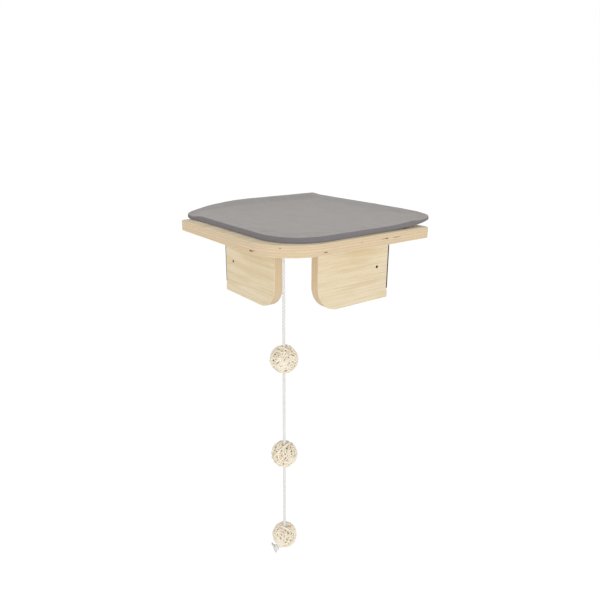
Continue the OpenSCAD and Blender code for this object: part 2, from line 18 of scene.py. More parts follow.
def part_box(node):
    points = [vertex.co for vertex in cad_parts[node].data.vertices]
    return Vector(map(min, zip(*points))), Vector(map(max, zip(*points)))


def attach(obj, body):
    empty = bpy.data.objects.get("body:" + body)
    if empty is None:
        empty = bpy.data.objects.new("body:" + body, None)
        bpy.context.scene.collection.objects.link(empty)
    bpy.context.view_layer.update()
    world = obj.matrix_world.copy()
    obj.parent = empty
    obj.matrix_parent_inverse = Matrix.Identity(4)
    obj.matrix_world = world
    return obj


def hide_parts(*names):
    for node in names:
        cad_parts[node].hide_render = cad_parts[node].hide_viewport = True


bl_info = {
    "name": "Corner wall platform",
    "version": (1, 0, 0),
    "blender": (4, 5, 0),
    "location": "View3D > Sidebar > Platform",
    "description": "Builds the plywood, mat, cord and balls of a corner wall platform",
    "category": "Object",
}

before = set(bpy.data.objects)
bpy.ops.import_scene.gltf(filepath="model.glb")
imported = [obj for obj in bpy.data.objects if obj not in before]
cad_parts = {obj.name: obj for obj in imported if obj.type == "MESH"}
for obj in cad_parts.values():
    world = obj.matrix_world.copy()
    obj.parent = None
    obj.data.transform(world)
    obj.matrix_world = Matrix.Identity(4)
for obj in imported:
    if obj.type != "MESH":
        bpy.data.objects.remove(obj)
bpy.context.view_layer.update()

BOARD_LOW, BOARD_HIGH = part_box("board")
BOARD_SIDE = BOARD_HIGH.x
BOARD_T = BOARD_HIGH.z
UP = Vector((0, 0, 1))

# The string's route, as in the part's source.
STRING_X = 0.250
STRING_Y = -0.257
BALL_CENTRES = {"upper": -0.167, "middle": -0.3365, "lower": -0.498}
BALL_DIAMETERS = {"upper": 0.0455, "middle": 0.044, "lower": 0.0425}
PIVOTS = {"upper": 0.001, "middle": -0.19305, "lower": -0.3618}
CORD_ENDS = {"upper": -0.19025, "middle": -0.359}
# Bottom of the counterbore in which the string's anchor knot sits, and the knot's middle.
KNOT_SEAT = 0.0075
ANCHOR_MIDDLE = KNOT_SEAT + 0.0044
# Heights through which the string runs straight down into the lower ball.
LOWER_RUN = (-0.42, BALL_CENTRES["lower"] + 0.012, BALL_CENTRES["lower"])
TAIL_AZIMUTH = math.radians(234)
# Points of the cord's end below the lower ball, as distance out and height above its centre.
TAIL_START = [(0, -0.010), (0, -0.019), (0.0003, -0.0225), (0.0025, -0.025), (0.0055, -0.0255),
    (0.0086, -0.0255)]
END_KNOT_PLACE = (0.013, -0.0255)
TAIL_END = (0.0162, -0.0266)
# The yarns of the frayed end run from a line inside the end knot to a line beyond it.
FRAY_ROOTS = ((0.0172, -0.0245), (0.0098, -0.0298))
FRAY_TIPS = ((0.0232, -0.0182), (0.0163, -0.0388))


# Colours and sizes

def linear(code):
    """An sRGB hex colour such as #E8DEC6 as linear red, green, blue and alpha."""
    parts = [int(code[i:i + 2], 16) / 255 for i in (1, 3, 5)]
    parts = [c / 12.92 if c <= 0.04045 else ((c + 0.055) / 1.055) ** 2.4 for c in parts]
    return (*parts, 1.0)


def length_property(name, description, default):
    return FloatProperty(name=name, description=description, default=default, min=0.0,
        precision=5, unit="LENGTH")


def colour_property(name, description, code):
    return FloatVectorProperty(name=name, description=description, default=linear(code), size=4,
        subtype="COLOR", min=0.0, max=1.0)


class PlatformSizes(bpy.types.PropertyGroup):
    """Sizes of what shows, apart from those that come from the frame"""

    front_radius: length_property("Front radius", "Radius of the board's front corner", 0.080)
    tip_radius: length_property("Tip radius", "Radius of the board's two side corners", 0.006)
    back_radius: length_property("Back radius", "Radius of the board's back corner", 0.004)
    board_round: length_property("Board edge", "Radius of the board's rounded edges", 0.0016)
    bracket_front_radius: length_property("Bracket radius",
        "Radius of each bracket's lower front corner", 0.045)
    bracket_corner_radius: length_property("Bracket corners",
        "Radius of each bracket's other corners", 0.002)
    bracket_round: length_property("Bracket edge", "Radius of the brackets' rounded edges", 0.0012)
    ply: length_property("Ply", "Thickness of one ply of the plywood", 0.002)
    mat_left_inset: length_property("Mat left inset",
        "Distance of the mat from the board's left free edge", 0.022)
    mat_right_inset: length_property("Mat right inset",
        "Distance of the mat from the board's right free edge", 0.0105)
    mat_wall_gap: length_property("Mat wall gap", "Distance of the mat from the walls", 0.001)
    mat_flare: length_property("Mat flare",
        "How far each side corner of the mat is drawn out beyond its free side", 0.0115)
    mat_flare_width: length_property("Mat flare width",
        "Distance from the wall within which a side corner is drawn out", 0.028)
    mat_front_radius: length_property("Mat front", "Radius of the mat's front corner", 0.070)
    mat_tip_radius: length_property("Mat tips", "Radius of the mat's side corners", 0.0035)
    mat_back_radius: length_property("Mat back", "Radius of the mat's back corner", 0.010)
    mat_side: length_property("Mat side", "Height of the mat's side panel", 0.0082)
    mat_puff: length_property("Mat puff", "How far the filling may push the top up", 0.0028)
    stitch: length_property("Stitch", "Length of one stitch and the gap after it", 0.004)
    cord: length_property("Cord", "Diameter of the cotton cord", 0.005)
    cord_lay: length_property("Cord lay", "Length in which the cord's strands turn once", 0.017)
    strand: length_property("Cane", "Thickness of the cane that the balls are wound from", 0.0027)
    layer_step: length_property("Layer step", "Depth from one layer of cane to the next", 0.00065)
    layers: IntProperty(name="Layers", description="Layers of cane in each ball", default=9, min=3,
        max=9)
    layer_turns: FloatProperty(name="Turns", description="Turns of cane in each layer",
        default=8.5, min=3.0, max=9.0)


class PlatformColours(bpy.types.PropertyGroup):
    """Base colours of the finishes"""

    birch: colour_property("Birch", "Light wood of the veneer", "#F0E1C3")
    birch_figure: colour_property("Birch figure", "Darker wood of the veneer", "#E3CEA6")
    ply_light: colour_property("Light ply", "Plies cut along the grain", "#E8D6B8")
    ply_dark: colour_property("Dark ply", "Plies cut across the grain", "#DBC19B")
    # Painted shade of the open spots between the plies, which the mesh does not cut.
    void: colour_property("Void", "Open spots between the plies", "#6B4A2B")
    fleece: colour_property("Fleece", "Top of the mat", "#AEA8A4")
    side: colour_property("Mat side", "Side panel of the mat", "#807C80")
    base: colour_property("Mat base", "Non-slip cloth under the mat", "#5B585A")
    hook: colour_property("Hook tape", "Hook tape on the board", "#4A4848")
    loop: colour_property("Loop tape", "Loop tape under the mat", "#737070")
    cotton: colour_property("Cotton", "Cotton cord", "#FAF8F4")
    cane: colour_property("Cane", "Pale outer cane", "#FAF2E2")
    # Darker tone of the cane, for its streaks and for the painted shade deep in the ball.
    cane_tone_and_shade: colour_property("Deep cane", "Cane deep in the ball", "#E4D3B0")
    black: colour_property("Black steel", "Powder coat of the wall plates", "#3A2E24")
    zinc: colour_property("Zinc", "Zinc plate of rods and screws", "#C6C8CB")
    stage: colour_property("Stage", "Floor and background", "#FFFFFF")


def sizes():
    return bpy.context.scene.platform_sizes


def colours():
    return bpy.context.scene.platform_colours


# Materials

# Sockets of the Mix node when it mixes colours.
MIX_A = 6
MIX_B = 7
MIX_RESULT = 2
# Angle of the cord's yarns to its strands.
YARN_SLANT = math.radians(-35)


def add_node(tree, kind, inputs, **settings):
    """Adds a shader node, changes its settings, and fills its inputs with values or with links.

    A link is given by an output, or by a node, which stands for its first output.
    """
    new = tree.nodes.new("ShaderNode" + kind)
    for name, value in settings.items():
        setattr(new, name, value)
    for socket, value in inputs.items():
        if isinstance(value, bpy.types.Node):
            value = value.outputs[0]
        if isinstance(value, bpy.types.NodeSocket):
            tree.links.new(value, new.inputs[socket])
        else:
            new.inputs[socket].default_value = value
    return new


def start_material(name):
    """A material with an empty node tree, its node tree, and the object's own coordinates."""
    material = bpy.data.materials.new(name)
    material.use_nodes = True
    tree = material.node_tree
    tree.nodes.clear()
    return material, tree, add_node(tree, "TexCoord", {}).outputs["Object"]


def finish_material(material, colour, relief, surface):
    """Ends a material with its relief, as (height, depth, strength), and its shader."""
    tree = material.node_tree
    bump = add_node(tree, "Bump", dict(zip(("Height", "Distance", "Strength"), relief)))
    shader = add_node(tree, "BsdfPrincipled", {"Base Color": colour, "Normal": bump, **surface})
    add_node(tree, "OutputMaterial", {"Surface": shader})
    return material


def lay_over(tree, colour, value, span, strength, tint, curve="SMOOTHSTEP"):
    """Lays a tint over a colour where a value is in a span, and returns the colour and the share.

    span is the value at which the tint begins and the value at which it is full.
    """
    share = add_node(tree, "MapRange", {
        "Value": value, "From Min": span[0], "From Max": span[1], "To Max": strength},
        interpolation_type=curve)
    mixed = add_node(tree, "Mix", {0: share, MIX_A: colour, MIX_B: tint}, data_type="RGBA")
    return mixed.outputs[MIX_RESULT], share


def lay_noise(tree, place, colour, layers):
    """Lays noise over a colour, layer on layer, and returns the colour and the noises.

    A layer is the spacing of its features along x, y and z in metres, the noise at which it
    begins and the noise at which it is full, its strength, and its colour.
    """
    noises = []
    for spacing, low, high, strength, tint in layers:
        spread = add_node(tree, "Mapping", {"Vector": place, "Scale": [1 / s for s in spacing]})
        noises.append(add_node(tree, "TexNoise", {
            "Vector": spread, "Scale": 1.0, "Detail": 2.0, "Roughness": 0.5}).outputs["Fac"])
        colour, _ = lay_over(tree, colour, noises[-1], (low, high), strength, tint)
    return colour, noises


def noisy_material(name, base, layers, relief, surface):
    """A material of one colour under layers of noise.

    relief is the number of the layer that gives it, its depth and its strength.
    """
    material, tree, place = start_material(name)
    colour, noises = lay_noise(tree, place, base, layers)
    return finish_material(material, colour, (noises[relief[0]], *relief[1:]), surface)


def darkened(colour, part):
    """A colour brought down to part of its brightness."""
    return (colour[0] * part, colour[1] * part, colour[2] * part, 1.0)


def along_grain(grain, along, across):
    """Pattern spacings that are long in the direction of the grain, "x" or "y"."""
    return [along if axis == grain else across for axis in "xyz"]


def birch_veneer(grain):
    """Rotary-cut birch veneer, sanded, with a matt clear finish.

    It gives the pale, slightly warm faces their faint waves of figure and fine pores.
    """
    dark = colours().birch_figure
    return noisy_material("birch_veneer_" + grain, colours().birch, [
        (along_grain(grain, 0.11, 0.011), 0.38, 0.68, 0.75, dark),
        (along_grain(grain, 0.16, 0.0032), 0.50, 0.66, 0.45, darkened(dark, 0.86)),
        (along_grain(grain, 0.014, 0.0007), 0.20, 0.80, 0.22, darkened(dark, 0.80)),
        (along_grain(grain, 0.005, 0.0006), 0.63, 0.72, 0.30, darkened(dark, 0.50))],
        (2, 0.0001, 0.35), {"Roughness": 0.52, "Specular IOR Level": 0.35})


# How far a ply wanders up and down, as a share of its thickness, and over what length.
PLY_WANDER = 0.35
WANDER_SPACING = 0.06
# How ragged an open spot's outline is, and where it begins and is full, as a share of its size.
VOID_RAGGED = 0.8
VOID_EDGE = (1.4, 0.9)
# Open spots in the board's edge, painted dark as the shade in gaps that the mesh does not cut,
# and darker streaks: place, half of their length and height, and how much they darken.
EDGE_VOIDS = [
    ((0.2290, -0.2994, 0.0052), 0.0048, 0.0015, 1.0),
    ((0.2345, -0.2990, 0.0060), 0.0040, 0.0009, 0.6),
    ((0.2735, -0.2795, 0.0142), 0.0018, 0.0009, 0.9),
    ((0.3000, -0.2187, 0.0051), 0.0048, 0.0008, 1.0),
    ((0.3000, -0.1498, 0.0115), 0.0016, 0.0006, 1.0),
    ((0.3000, -0.1035, 0.0106), 0.0075, 0.0009, 0.5),
    ((0.3000, -0.0975, 0.0105), 0.0032, 0.0014, 1.0),
    ((0.3000, -0.0765, 0.0103), 0.0110, 0.0010, 0.6),
]


def plywood_edge(name, across, low, voids):
    """Sanded plywood edge.

    Light plies lie along the cut and show streaks, the darker ones between them are end grain,
    and thin glue lines part them. A few open spots are painted dark, as painted shade in gaps that
    the mesh does not cut.
    """
    material, tree, place = start_material(name)
    light, dark = colours().ply_light, colours().ply_dark
    ply = sizes().ply
    height = add_node(tree, "SeparateXYZ", {0: place}).outputs[across.upper()]
    wander = add_node(tree, "TexNoise", {"Vector": place, "Scale": 1 / WANDER_SPACING})
    level = add_node(tree, "Math", {0: height, 1: low + PLY_WANDER / 2 * ply},
        operation="SUBTRACT")
    level = add_node(tree, "Math", {0: level, 1: ply}, operation="DIVIDE")
    level = add_node(tree, "Math", {0: wander.outputs["Fac"], 1: PLY_WANDER, 2: level},
        operation="MULTIPLY_ADD")
    number = add_node(tree, "Math", {0: level}, operation="FLOOR")
    odd = add_node(tree, "Math", {0: number, 1: 1.0}, operation="PINGPONG")
    tone = add_node(tree, "TexWhiteNoise", {"W": number}, noise_dimensions="1D")
    off_glue = add_node(tree, "Math", {0: level, 1: 0.5}, operation="PINGPONG")
    colour = light
    for value, span, strength, tint in [
            (odd, (0.0, 1.0), 0.75, dark),
            (tone.outputs["Value"], (0.0, 1.0), 0.30, dark),
            (off_glue, (0.09, 0.02), 0.35, darkened(dark, 0.55))]:
        colour, _ = lay_over(tree, colour, value, span, strength, tint)
    colour, (streaks, specks) = lay_noise(tree, place, colour, [
        (along_grain(across, 0.0005, 0.016), 0.45, 0.70, 0.45, darkened(dark, 0.86)),
        ([0.0007] * 3, 0.50, 0.70, 0.35, darkened(dark, 0.70))])
    # Painted shade: each open spot is darkened as the shade in its gap would darken it.
    for spot, half_length, half_height, strength in voids:
        reach = add_node(tree, "VectorMath", {0: place, 1: spot}, operation="SUBTRACT")
        reach = add_node(tree, "VectorMath", {
            0: reach, 1: along_grain(across, 1 / half_height, 1 / half_length)},
            operation="MULTIPLY")
        reach = add_node(tree, "VectorMath", {0: reach}, operation="LENGTH").outputs["Value"]
        ragged = add_node(tree, "Math", {0: specks, 1: VOID_RAGGED, 2: reach},
            operation="MULTIPLY_ADD")
        colour, _ = lay_over(tree, colour, ragged, VOID_EDGE, strength, colours().void)
    return finish_material(material, colour, (streaks, 0.00015, 0.5), {
        "Roughness": 0.62, "Specular IOR Level": 0.30})


def fleece():
    """Short-pile polyester fleece, knitted and brushed.

    The pile gives a soft heathered grey with small tufts and no shine.
    """
    base = colours().fleece
    return noisy_material("polyester_fleece", base, [
        ([0.0022] * 3, 0.35, 0.65, 0.30, darkened(base, 0.70)),
        ([0.0006] * 3, 0.45, 0.70, 0.35, linear("#CECBC8")),
        ([0.030, 0.018, 0.030], 0.35, 0.65, 0.22, darkened(base, 0.78))],
        (0, 0.0009, 0.7), {"Roughness": 0.95, "Specular IOR Level": 0.10, "Sheen Weight": 0.35,
            "Sheen Roughness": 0.60})


def side_knit():
    """Smooth warp-knitted polyester of the mat's side panel.

    It is darker than the fleece, even, with fine ribs that run round the mat.
    """
    base = colours().side
    return noisy_material("polyester_knit", base, [
        ([0.004, 0.004, 0.0006], 0.20, 0.80, 0.35, darkened(base, 0.72)),
        ([0.0008] * 3, 0.45, 0.70, 0.20, linear("#AAA8AA"))],
        (0, 0.0002, 0.5), {"Roughness": 0.85, "Specular IOR Level": 0.15, "Sheen Weight": 0.20})


def dotted_cloth():
    """Woven polyester with silicone dots under the mat.

    The dots are 2 mm wide, 5 mm apart, darker and a little shiny, and stop the mat from sliding.
    """
    material, tree, place = start_material("nonslip_dotted_cloth")
    base = colours().base
    weave, _ = lay_noise(tree, place, base, [([0.0008] * 3, 0.20, 0.80, 0.4, darkened(base, 0.6))])
    flat = add_node(tree, "Mapping", {"Vector": place, "Scale": (1 / 0.005, 1 / 0.005, 0)})
    grid = add_node(tree, "TexVoronoi", {"Vector": flat, "Scale": 1.0, "Randomness": 0.0},
        voronoi_dimensions="2D")
    colour, dots = lay_over(tree, weave, grid.outputs["Distance"], (0.24, 0.18), 1.0,
        darkened(base, 0.30))
    return finish_material(material, colour, (dots, 0.0005, 0.8), {"Roughness": 0.75})


def hook_and_loop(name, base, spacing, depth):
    """Woven nylon tape with hooks or loops, which show as a fine dense pile, with painted shade in
    the low places between its tufts.
    """
    material, tree, place = start_material(name)
    cells = add_node(tree, "TexVoronoi", {
        "Vector": place, "Scale": 1 / spacing, "Randomness": 0.6})
    # Painted shade: darker away from each tuft's middle, where the pile lies low.
    colour, pile = lay_over(tree, darkened(base, 0.45), cells.outputs["Distance"], (0.6, 0.1), 1.0,
        base)
    return finish_material(material, colour, (pile, depth, 0.8), {"Roughness": 0.7})


def twisted_cotton():
    """Undyed cotton cord of three twisted strands.

    Soft off-white, with painted shade that darkens the grooves, and fine yarns across each strand.
    """
    material, tree, place = start_material("twisted_cotton_cord")
    base = colours().cotton
    groove = add_node(tree, "Attribute", {}, attribute_name="deep")
    turned = add_node(tree, "UVMap", {}, uv_map="lay")
    slanted = add_node(tree, "Mapping", {"Vector": turned, "Rotation": (0, 0, YARN_SLANT)})
    yarns = add_node(tree, "TexWave", {"Vector": slanted, "Scale": 330.0, "Distortion": 1.2,
        "Detail": 1.0, "Detail Scale": 2.0}, bands_direction="X").outputs["Fac"]
    # Painted shade: the grooves, which the attribute "deep" marks, are painted darker.
    colour, _ = lay_over(tree, base, groove.outputs["Fac"], (0.0, 1.0), 0.60,
        darkened(base, 0.52), "LINEAR")
    colour, _ = lay_over(tree, colour, yarns, (0.0, 1.0), 0.14, darkened(base, 0.66), "LINEAR")
    colour, _ = lay_noise(tree, place, colour, [
        ([0.0006, 0.0006, 0.0012], 0.50, 0.70, 0.20, darkened(base, 0.72))])
    return finish_material(material, colour, (yarns, 0.00025, 0.7), {
        "Roughness": 0.9, "Specular IOR Level": 0.12, "Sheen Weight": 0.25})


def split_cane():
    """Peeled and dried cane, wound while damp.

    Pale straw with fibres along each strand. Painted shade darkens the cane the deeper its layer
    lies, so that it shows darker between the outer strands.
    """
    material, tree, _ = start_material("peeled_cane")
    light, dark = colours().cane, colours().cane_tone_and_shade
    along = add_node(tree, "UVMap", {}, uv_map="lay")
    deep = add_node(tree, "Attribute", {}, attribute_name="deep")
    colour, noises = lay_noise(tree, along, light, [
        ([1.0, 0.029, 1.0], 0.42, 0.72, 0.60, dark),
        ([0.0007, 0.017, 1.0], 0.45, 0.75, 0.30, dark)])
    # Painted shade: the deeper a layer of cane lies in the ball, the darker it is painted.
    colour, _ = lay_over(tree, colour, deep.outputs["Fac"], (0.0, 1.0), 0.40, dark, "LINEAR")
    return finish_material(material, colour, (noises[1], 0.0002, 0.5), {
        "Roughness": 0.6, "Specular IOR Level": 0.3})


def powder_coat():
    """Steel with a warm black powder coat, which has a fine orange peel and little shine."""
    base = colours().black
    return noisy_material("black_powder_coated_steel", base, [
        ([0.0009] * 3, 0.20, 0.80, 1.0, darkened(base, 0.7))],
        (0, 0.0001, 0.4), {"Roughness": 0.60, "Specular IOR Level": 0.25})


def zinc_plate():
    """Bright zinc-plated steel with faint drawing lines."""
    base = colours().zinc
    return noisy_material("zinc_plated_steel", base, [
        ([0.0005, 0.0005, 0.004], 0.20, 0.80, 0.4, darkened(base, 0.7))],
        (0, 0.00005, 0.3), {"Metallic": 1.0, "Roughness": 0.33})


def sewing_thread():
    """Spun polyester sewing thread, the grey of the fleece, so lighter than the side panel."""
    base = colours().fleece
    return noisy_material("polyester_thread", base, [
        ([0.0004] * 3, 0.20, 0.80, 1.0, darkened(base, 0.6))],
        (0, 0.0001, 0.5), {"Roughness": 0.6})


# Meshes

# Two places count as the same within this distance.
NEAR = 0.00005
HOLE_SIDES = 40
EDGE_SEGMENTS = 4
# A face has the veneer where more than this share of its normal points across the plies.
VENEER_SHARE = 0.8
SHARP_ANGLE = math.radians(32)
CURVE_POINTS = 12
# A rounded tip narrows to this share of its area.
TIP_SHARE = 0.01


def deselect_all():
    bpy.ops.object.select_all(action="DESELECT")


def take(piece):
    """Makes a piece the only selected one, and active."""
    deselect_all()
    piece.select_set(True)
    bpy.context.view_layer.objects.active = piece


def name_added(name):
    """Names the primitive just added, and puts its place and size into its mesh."""
    piece = bpy.context.object
    piece.name = name
    piece.data.name = name
    bpy.ops.object.transform_apply(location=True, rotation=True, scale=True)
    return piece


def select_edges(piece, wanted):
    """Selects in edit mode the edges for whose two ends wanted(a, b) holds."""
    bpy.ops.mesh.select_mode(type="EDGE")
    bpy.ops.mesh.select_all(action="DESELECT")
    mesh = bmesh.from_edit_mesh(piece.data)
    for edge in mesh.edges:
        a, b = [v.co for v in edge.verts]
        edge.select_set(wanted(a, b))
    mesh.select_flush_mode()
    bmesh.update_edit_mesh(piece.data)


def near(a, b):
    return abs(a - b) < NEAR


def apply_modifier(piece, kind, settings):
    """Adds a modifier, sets it and applies it."""
    take(piece)
    modifier = piece.modifiers.new(kind.lower(), kind)
    for name, value in settings.items():
        setattr(modifier, name, value)
    bpy.ops.object.modifier_apply(modifier=modifier.name)


def cut(piece, cutter):
    """Cuts one mesh out of another and removes the cutter."""
    apply_modifier(piece, "BOOLEAN", {
        "operation": "DIFFERENCE", "object": cutter, "solver": "EXACT"})
    bpy.data.objects.remove(cutter)


def drill(piece, foot, direction, radius, depth, far_radius=None):
    """Cuts a round hole from foot in a direction. far_radius makes it a cone."""
    deselect_all()
    direction = Vector(direction)
    bpy.ops.mesh.primitive_cone_add(vertices=HOLE_SIDES, radius1=radius,
        radius2=radius if far_radius is None else far_radius, depth=depth,
        location=Vector(foot) + direction * depth / 2,
        rotation=UP.rotation_difference(direction).to_euler())
    cut(piece, name_added("cutter"))


def sanded_slab(name, low, high, axis, corners, edge_round, notch=None):
    """A slab of plywood with round corners and softly rounded edges.

    axis is the number of the direction across its plies. corners gives each corner's place,
    its radius and its segments. notch is the low and high corner of a block that is cut away.
    """
    deselect_all()
    middle = (Vector(low) + Vector(high)) / 2
    bpy.ops.mesh.primitive_cube_add(size=1, location=middle, scale=Vector(high) - Vector(low))
    slab = name_added(name)
    if notch:
        deselect_all()
        a, b = Vector(notch[0]), Vector(notch[1])
        bpy.ops.mesh.primitive_cube_add(size=1, location=(a + b) / 2, scale=b - a)
        cut(slab, name_added("cutter"))
        take(slab)
    bpy.ops.object.mode_set(mode="EDIT")
    flat = [i for i in range(3) if i != axis]
    for place, radius, segments in corners:
        select_edges(slab, lambda a, b: all(near(a[i], place[i]) and near(b[i], place[i])
            for i in flat))
        bpy.ops.mesh.bevel(offset=radius, segments=segments, affect="EDGES")
    select_edges(slab, lambda a, b: any(near(a[axis], z) and near(b[axis], z)
        for z in (low[axis], high[axis])))
    bpy.ops.mesh.bevel(offset=edge_round, segments=EDGE_SEGMENTS, affect="EDGES")
    bpy.ops.object.mode_set(mode="OBJECT")
    return slab


def finish_slab(slab, axis, face, edge):
    """Gives the faces across the plies the veneer and the rest the edge, and smooths them."""
    slab.data.materials.append(face)
    slab.data.materials.append(edge)
    for polygon in slab.data.polygons:
        polygon.material_index = 0 if abs(polygon.normal[axis]) > VENEER_SHARE else 1
    take(slab)
    bpy.ops.object.shade_smooth_by_angle(angle=SHARP_ANGLE)
    apply_modifier(slab, "WEIGHTED_NORMAL", {"keep_sharp": True})


def plain_mesh(name, points, faces, materials):
    """A piece from points and faces, smooth all over."""
    mesh = bpy.data.meshes.new(name)
    mesh.from_pydata([tuple(p) for p in points], [], faces)
    mesh.validate()
    for material in materials:
        mesh.materials.append(material)
    mesh.polygons.foreach_set("use_smooth", [True] * len(mesh.polygons))
    piece = bpy.data.objects.new(name, mesh)
    bpy.context.scene.collection.objects.link(piece)
    return piece


def run_of(line):
    """How far along a line each of its points lies."""
    return np.concatenate([[0.0], np.cumsum(np.linalg.norm(np.diff(line, axis=0), axis=1))])


def respaced(line, step):
    """The line's points again, about step apart."""
    along = run_of(line)
    places = np.linspace(0, along[-1], max(3, round(along[-1] / step) + 1))
    return np.stack([np.interp(places, along, line[:, k]) for k in range(3)], axis=1)


def curve_through(points, step):
    """A smooth line through given points, by Catmull-Rom."""
    p = np.array(points, float)
    p = np.concatenate([[2 * p[0] - p[1]], p, [2 * p[-1] - p[-2]]])
    line = []
    for a, b, c, d in zip(p, p[1:], p[2:], p[3:]):
        for t in np.linspace(0, 1, CURVE_POINTS, endpoint=False):
            line.append(0.5 * (2 * b + (c - a) * t + (2 * a - 5 * b + 4 * c - d) * t ** 2
                + (3 * b - a - 3 * c + d) * t ** 3))
    line.append(p[-2])
    return respaced(np.array(line), step)


def unit_rows(rows):
    return rows / np.linalg.norm(rows, axis=1)[:, None]


def tube_parts(line, radii, sides, lobes=0, groove=0.0, lay=1.0, deep=None):
    """Points, faces, UVs and depths of a tube along a line.

    Its section has lobes that stand proud of grooves, and turns once in each lay. deep gives the
    depth of each point of the line, and without it the grooves count as deep. The materials paint
    shade by these depths.
    """
    tangents = unit_rows(np.gradient(line, axis=0))
    first = np.cross(tangents[0], [1.0, 0.2, 0.1] if abs(tangents[0][0]) < 0.8 else [0.1, 1.0, 0.2])
    normals = [first / np.linalg.norm(first)]
    for t in tangents[1:]:
        carried = normals[-1] - t * (normals[-1] @ t)
        normals.append(carried / np.linalg.norm(carried))
    normals = np.array(normals)
    sideways = np.cross(tangents, normals)
    along = run_of(line)
    around = np.linspace(0, 2 * math.pi, sides, endpoint=False)
    turned = around[None, :] + 2 * math.pi * along[:, None] / lay
    low = 1 - np.abs(np.cos(lobes * around / 2)) if lobes else np.zeros(sides)
    reach = np.array(radii)[:, None] * (1 - groove * low)[None, :]
    points = (line[:, None, :] + reach[..., None] * (np.cos(turned)[..., None] * normals[:, None, :]
        + np.sin(turned)[..., None] * sideways[:, None, :]))
    rings = len(line)
    faces, uvs = [], []
    width = 2 * math.pi * max(radii) / sides
    for i in range(rings - 1):
        for k in range(sides):
            m = (k + 1) % sides
            faces.append((i * sides + k, i * sides + m, (i + 1) * sides + m, (i + 1) * sides + k))
            uvs.append(((k * width, along[i]), ((k + 1) * width, along[i]),
                ((k + 1) * width, along[i + 1]), (k * width, along[i + 1])))
    for start, order in ((0, range(sides - 1, -1, -1)), ((rings - 1) * sides, range(sides))):
        faces.append(tuple(start + k for k in order))
        uvs.append(tuple((k * width, along[0 if start == 0 else -1]) for k in order))
    if deep is None:
        depths = np.tile(low ** 1.5, rings)
    else:
        depths = np.repeat(deep, sides)
    return points.reshape(-1, 3), faces, uvs, depths


def tube_piece(name, tubes, material):
    """One piece from one or more tubes, with its UV map "lay" and its attribute "deep", the depth
    by which its material paints shade.
    """
    points, faces, uvs, depths = [], [], [], []
    for tube_points, tube_faces, tube_uvs, tube_depths in tubes:
        base = len(points)
        points.extend(tube_points)
        faces.extend(tuple(base + k for k in face) for face in tube_faces)
        uvs.extend(tube_uvs)
        depths.extend(tube_depths)
    piece = plain_mesh(name, points, faces, [material])
    layer = piece.data.uv_layers.new(name="lay")
    layer.data.foreach_set("uv", [c for face in uvs for corner in face for c in corner])
    attribute = piece.data.attributes.new("deep", "FLOAT", "POINT")
    attribute.data.foreach_set("value", [float(d) for d in depths])
    return piece


def end_rounding(line, radius, round_start, round_end):
    """The radii along a line, brought in at its ends as on a rounded tip."""
    along = run_of(line)
    radii = np.full(len(line), radius)
    for wanted, inward in ((round_start, along), (round_end, along[-1] - along)):
        if wanted:
            share = np.clip(inward / radius, 0, 1)
            radii = radii * np.sqrt(np.maximum(1 - (1 - share) ** 2, TIP_SHARE))
    return radii


# Cord and knots

CORD_SIDES = 24
CORD_STEP = 0.0009
CORD_LOBES = 3
CORD_GROOVE = 0.26


def cord_tube(line, radius, round_start=False, round_end=False):
    line = respaced(np.array(line, float), CORD_STEP)
    radii = end_rounding(line, radius, round_start, round_end)
    return tube_parts(line, radii, CORD_SIDES, CORD_LOBES, CORD_GROOVE, sizes().cord_lay)


def on_string(z):
    return [STRING_X, STRING_Y, z]


def tail_place(out, height):
    return [STRING_X + out * math.cos(TAIL_AZIMUTH), STRING_Y + out * math.sin(TAIL_AZIMUTH),
        BALL_CENTRES["lower"] + height]


def cord_line(name):
    """The middle of one stretch of the string."""
    top = PIVOTS[name] + sizes().cord / 2
    if name != "lower":
        return np.array([on_string(top), on_string(CORD_ENDS[name])])
    straight = [on_string(z) for z in (top, *LOWER_RUN)]
    return curve_through(straight + [tail_place(*p) for p in TAIL_START], CORD_STEP)


# A knot in its own frame: the rope runs along z and wraps one and a half times round itself.
KNOT_TURNS = 1.5
KNOT_RADIUS = 0.0036
KNOT_RISE = 0.0021
KNOT_ROPE = 0.0024
# Its ends tuck in over a share of its length, to a share of its radius.
KNOT_TUCK = 0.12
KNOT_CORE = 0.25
KNOT_POINTS = 60


def knot_tube(place):
    """The rope of a knot, put in its place by a matrix. Both its ends tuck in to the middle."""
    line = []
    for t in np.linspace(0, 1, KNOT_POINTS):
        angle = 2 * math.pi * KNOT_TURNS * t
        inside = min(1.0, min(t, 1 - t) / KNOT_TUCK)
        out = KNOT_RADIUS * (KNOT_CORE + (1 - KNOT_CORE) * math.sin(inside * math.pi / 2))
        line.append(place @ Vector((out * math.cos(angle), out * math.sin(angle),
            KNOT_RISE * (2 * t - 1))))
    return cord_tube(line, KNOT_ROPE, True, True)


# How far below the knot's top the cord is cut, and its short yarns begin.
ANCHOR_CUT = 0.001
BRUSH_DEPTH = 0.0022
# Radius of a yarn, and the share of it at the yarn's tip.
YARN = 0.00042
YARN_TIP = 0.4
YARN_SIDES = 6
# The short upper end: how far round each yarn stands from the last, how far out its foot is and
# how far it leans out, as shares of its place in the cord, how deep its root is, and its length
# with the unevenness of that.
YARN_TURN = 2.4
YARN_FOOT = 0.75
YARN_LEAN = 0.8
YARN_ROOT = 0.001
YARN_LENGTH = (0.0030, 0.0010)
# Yarns in the short upper end, and in the frayed lower end, which has them in several layers.
YARNS = 26
FAN_YARNS = 40
FAN_LAYERS = 4
# Where the first layer lies and how far apart the layers are, in diameters of the cord, and how
# much closer they lie at their roots.
FAN_FIRST = 0.42
FAN_STEP = 0.28
FAN_ROOTS = 0.8
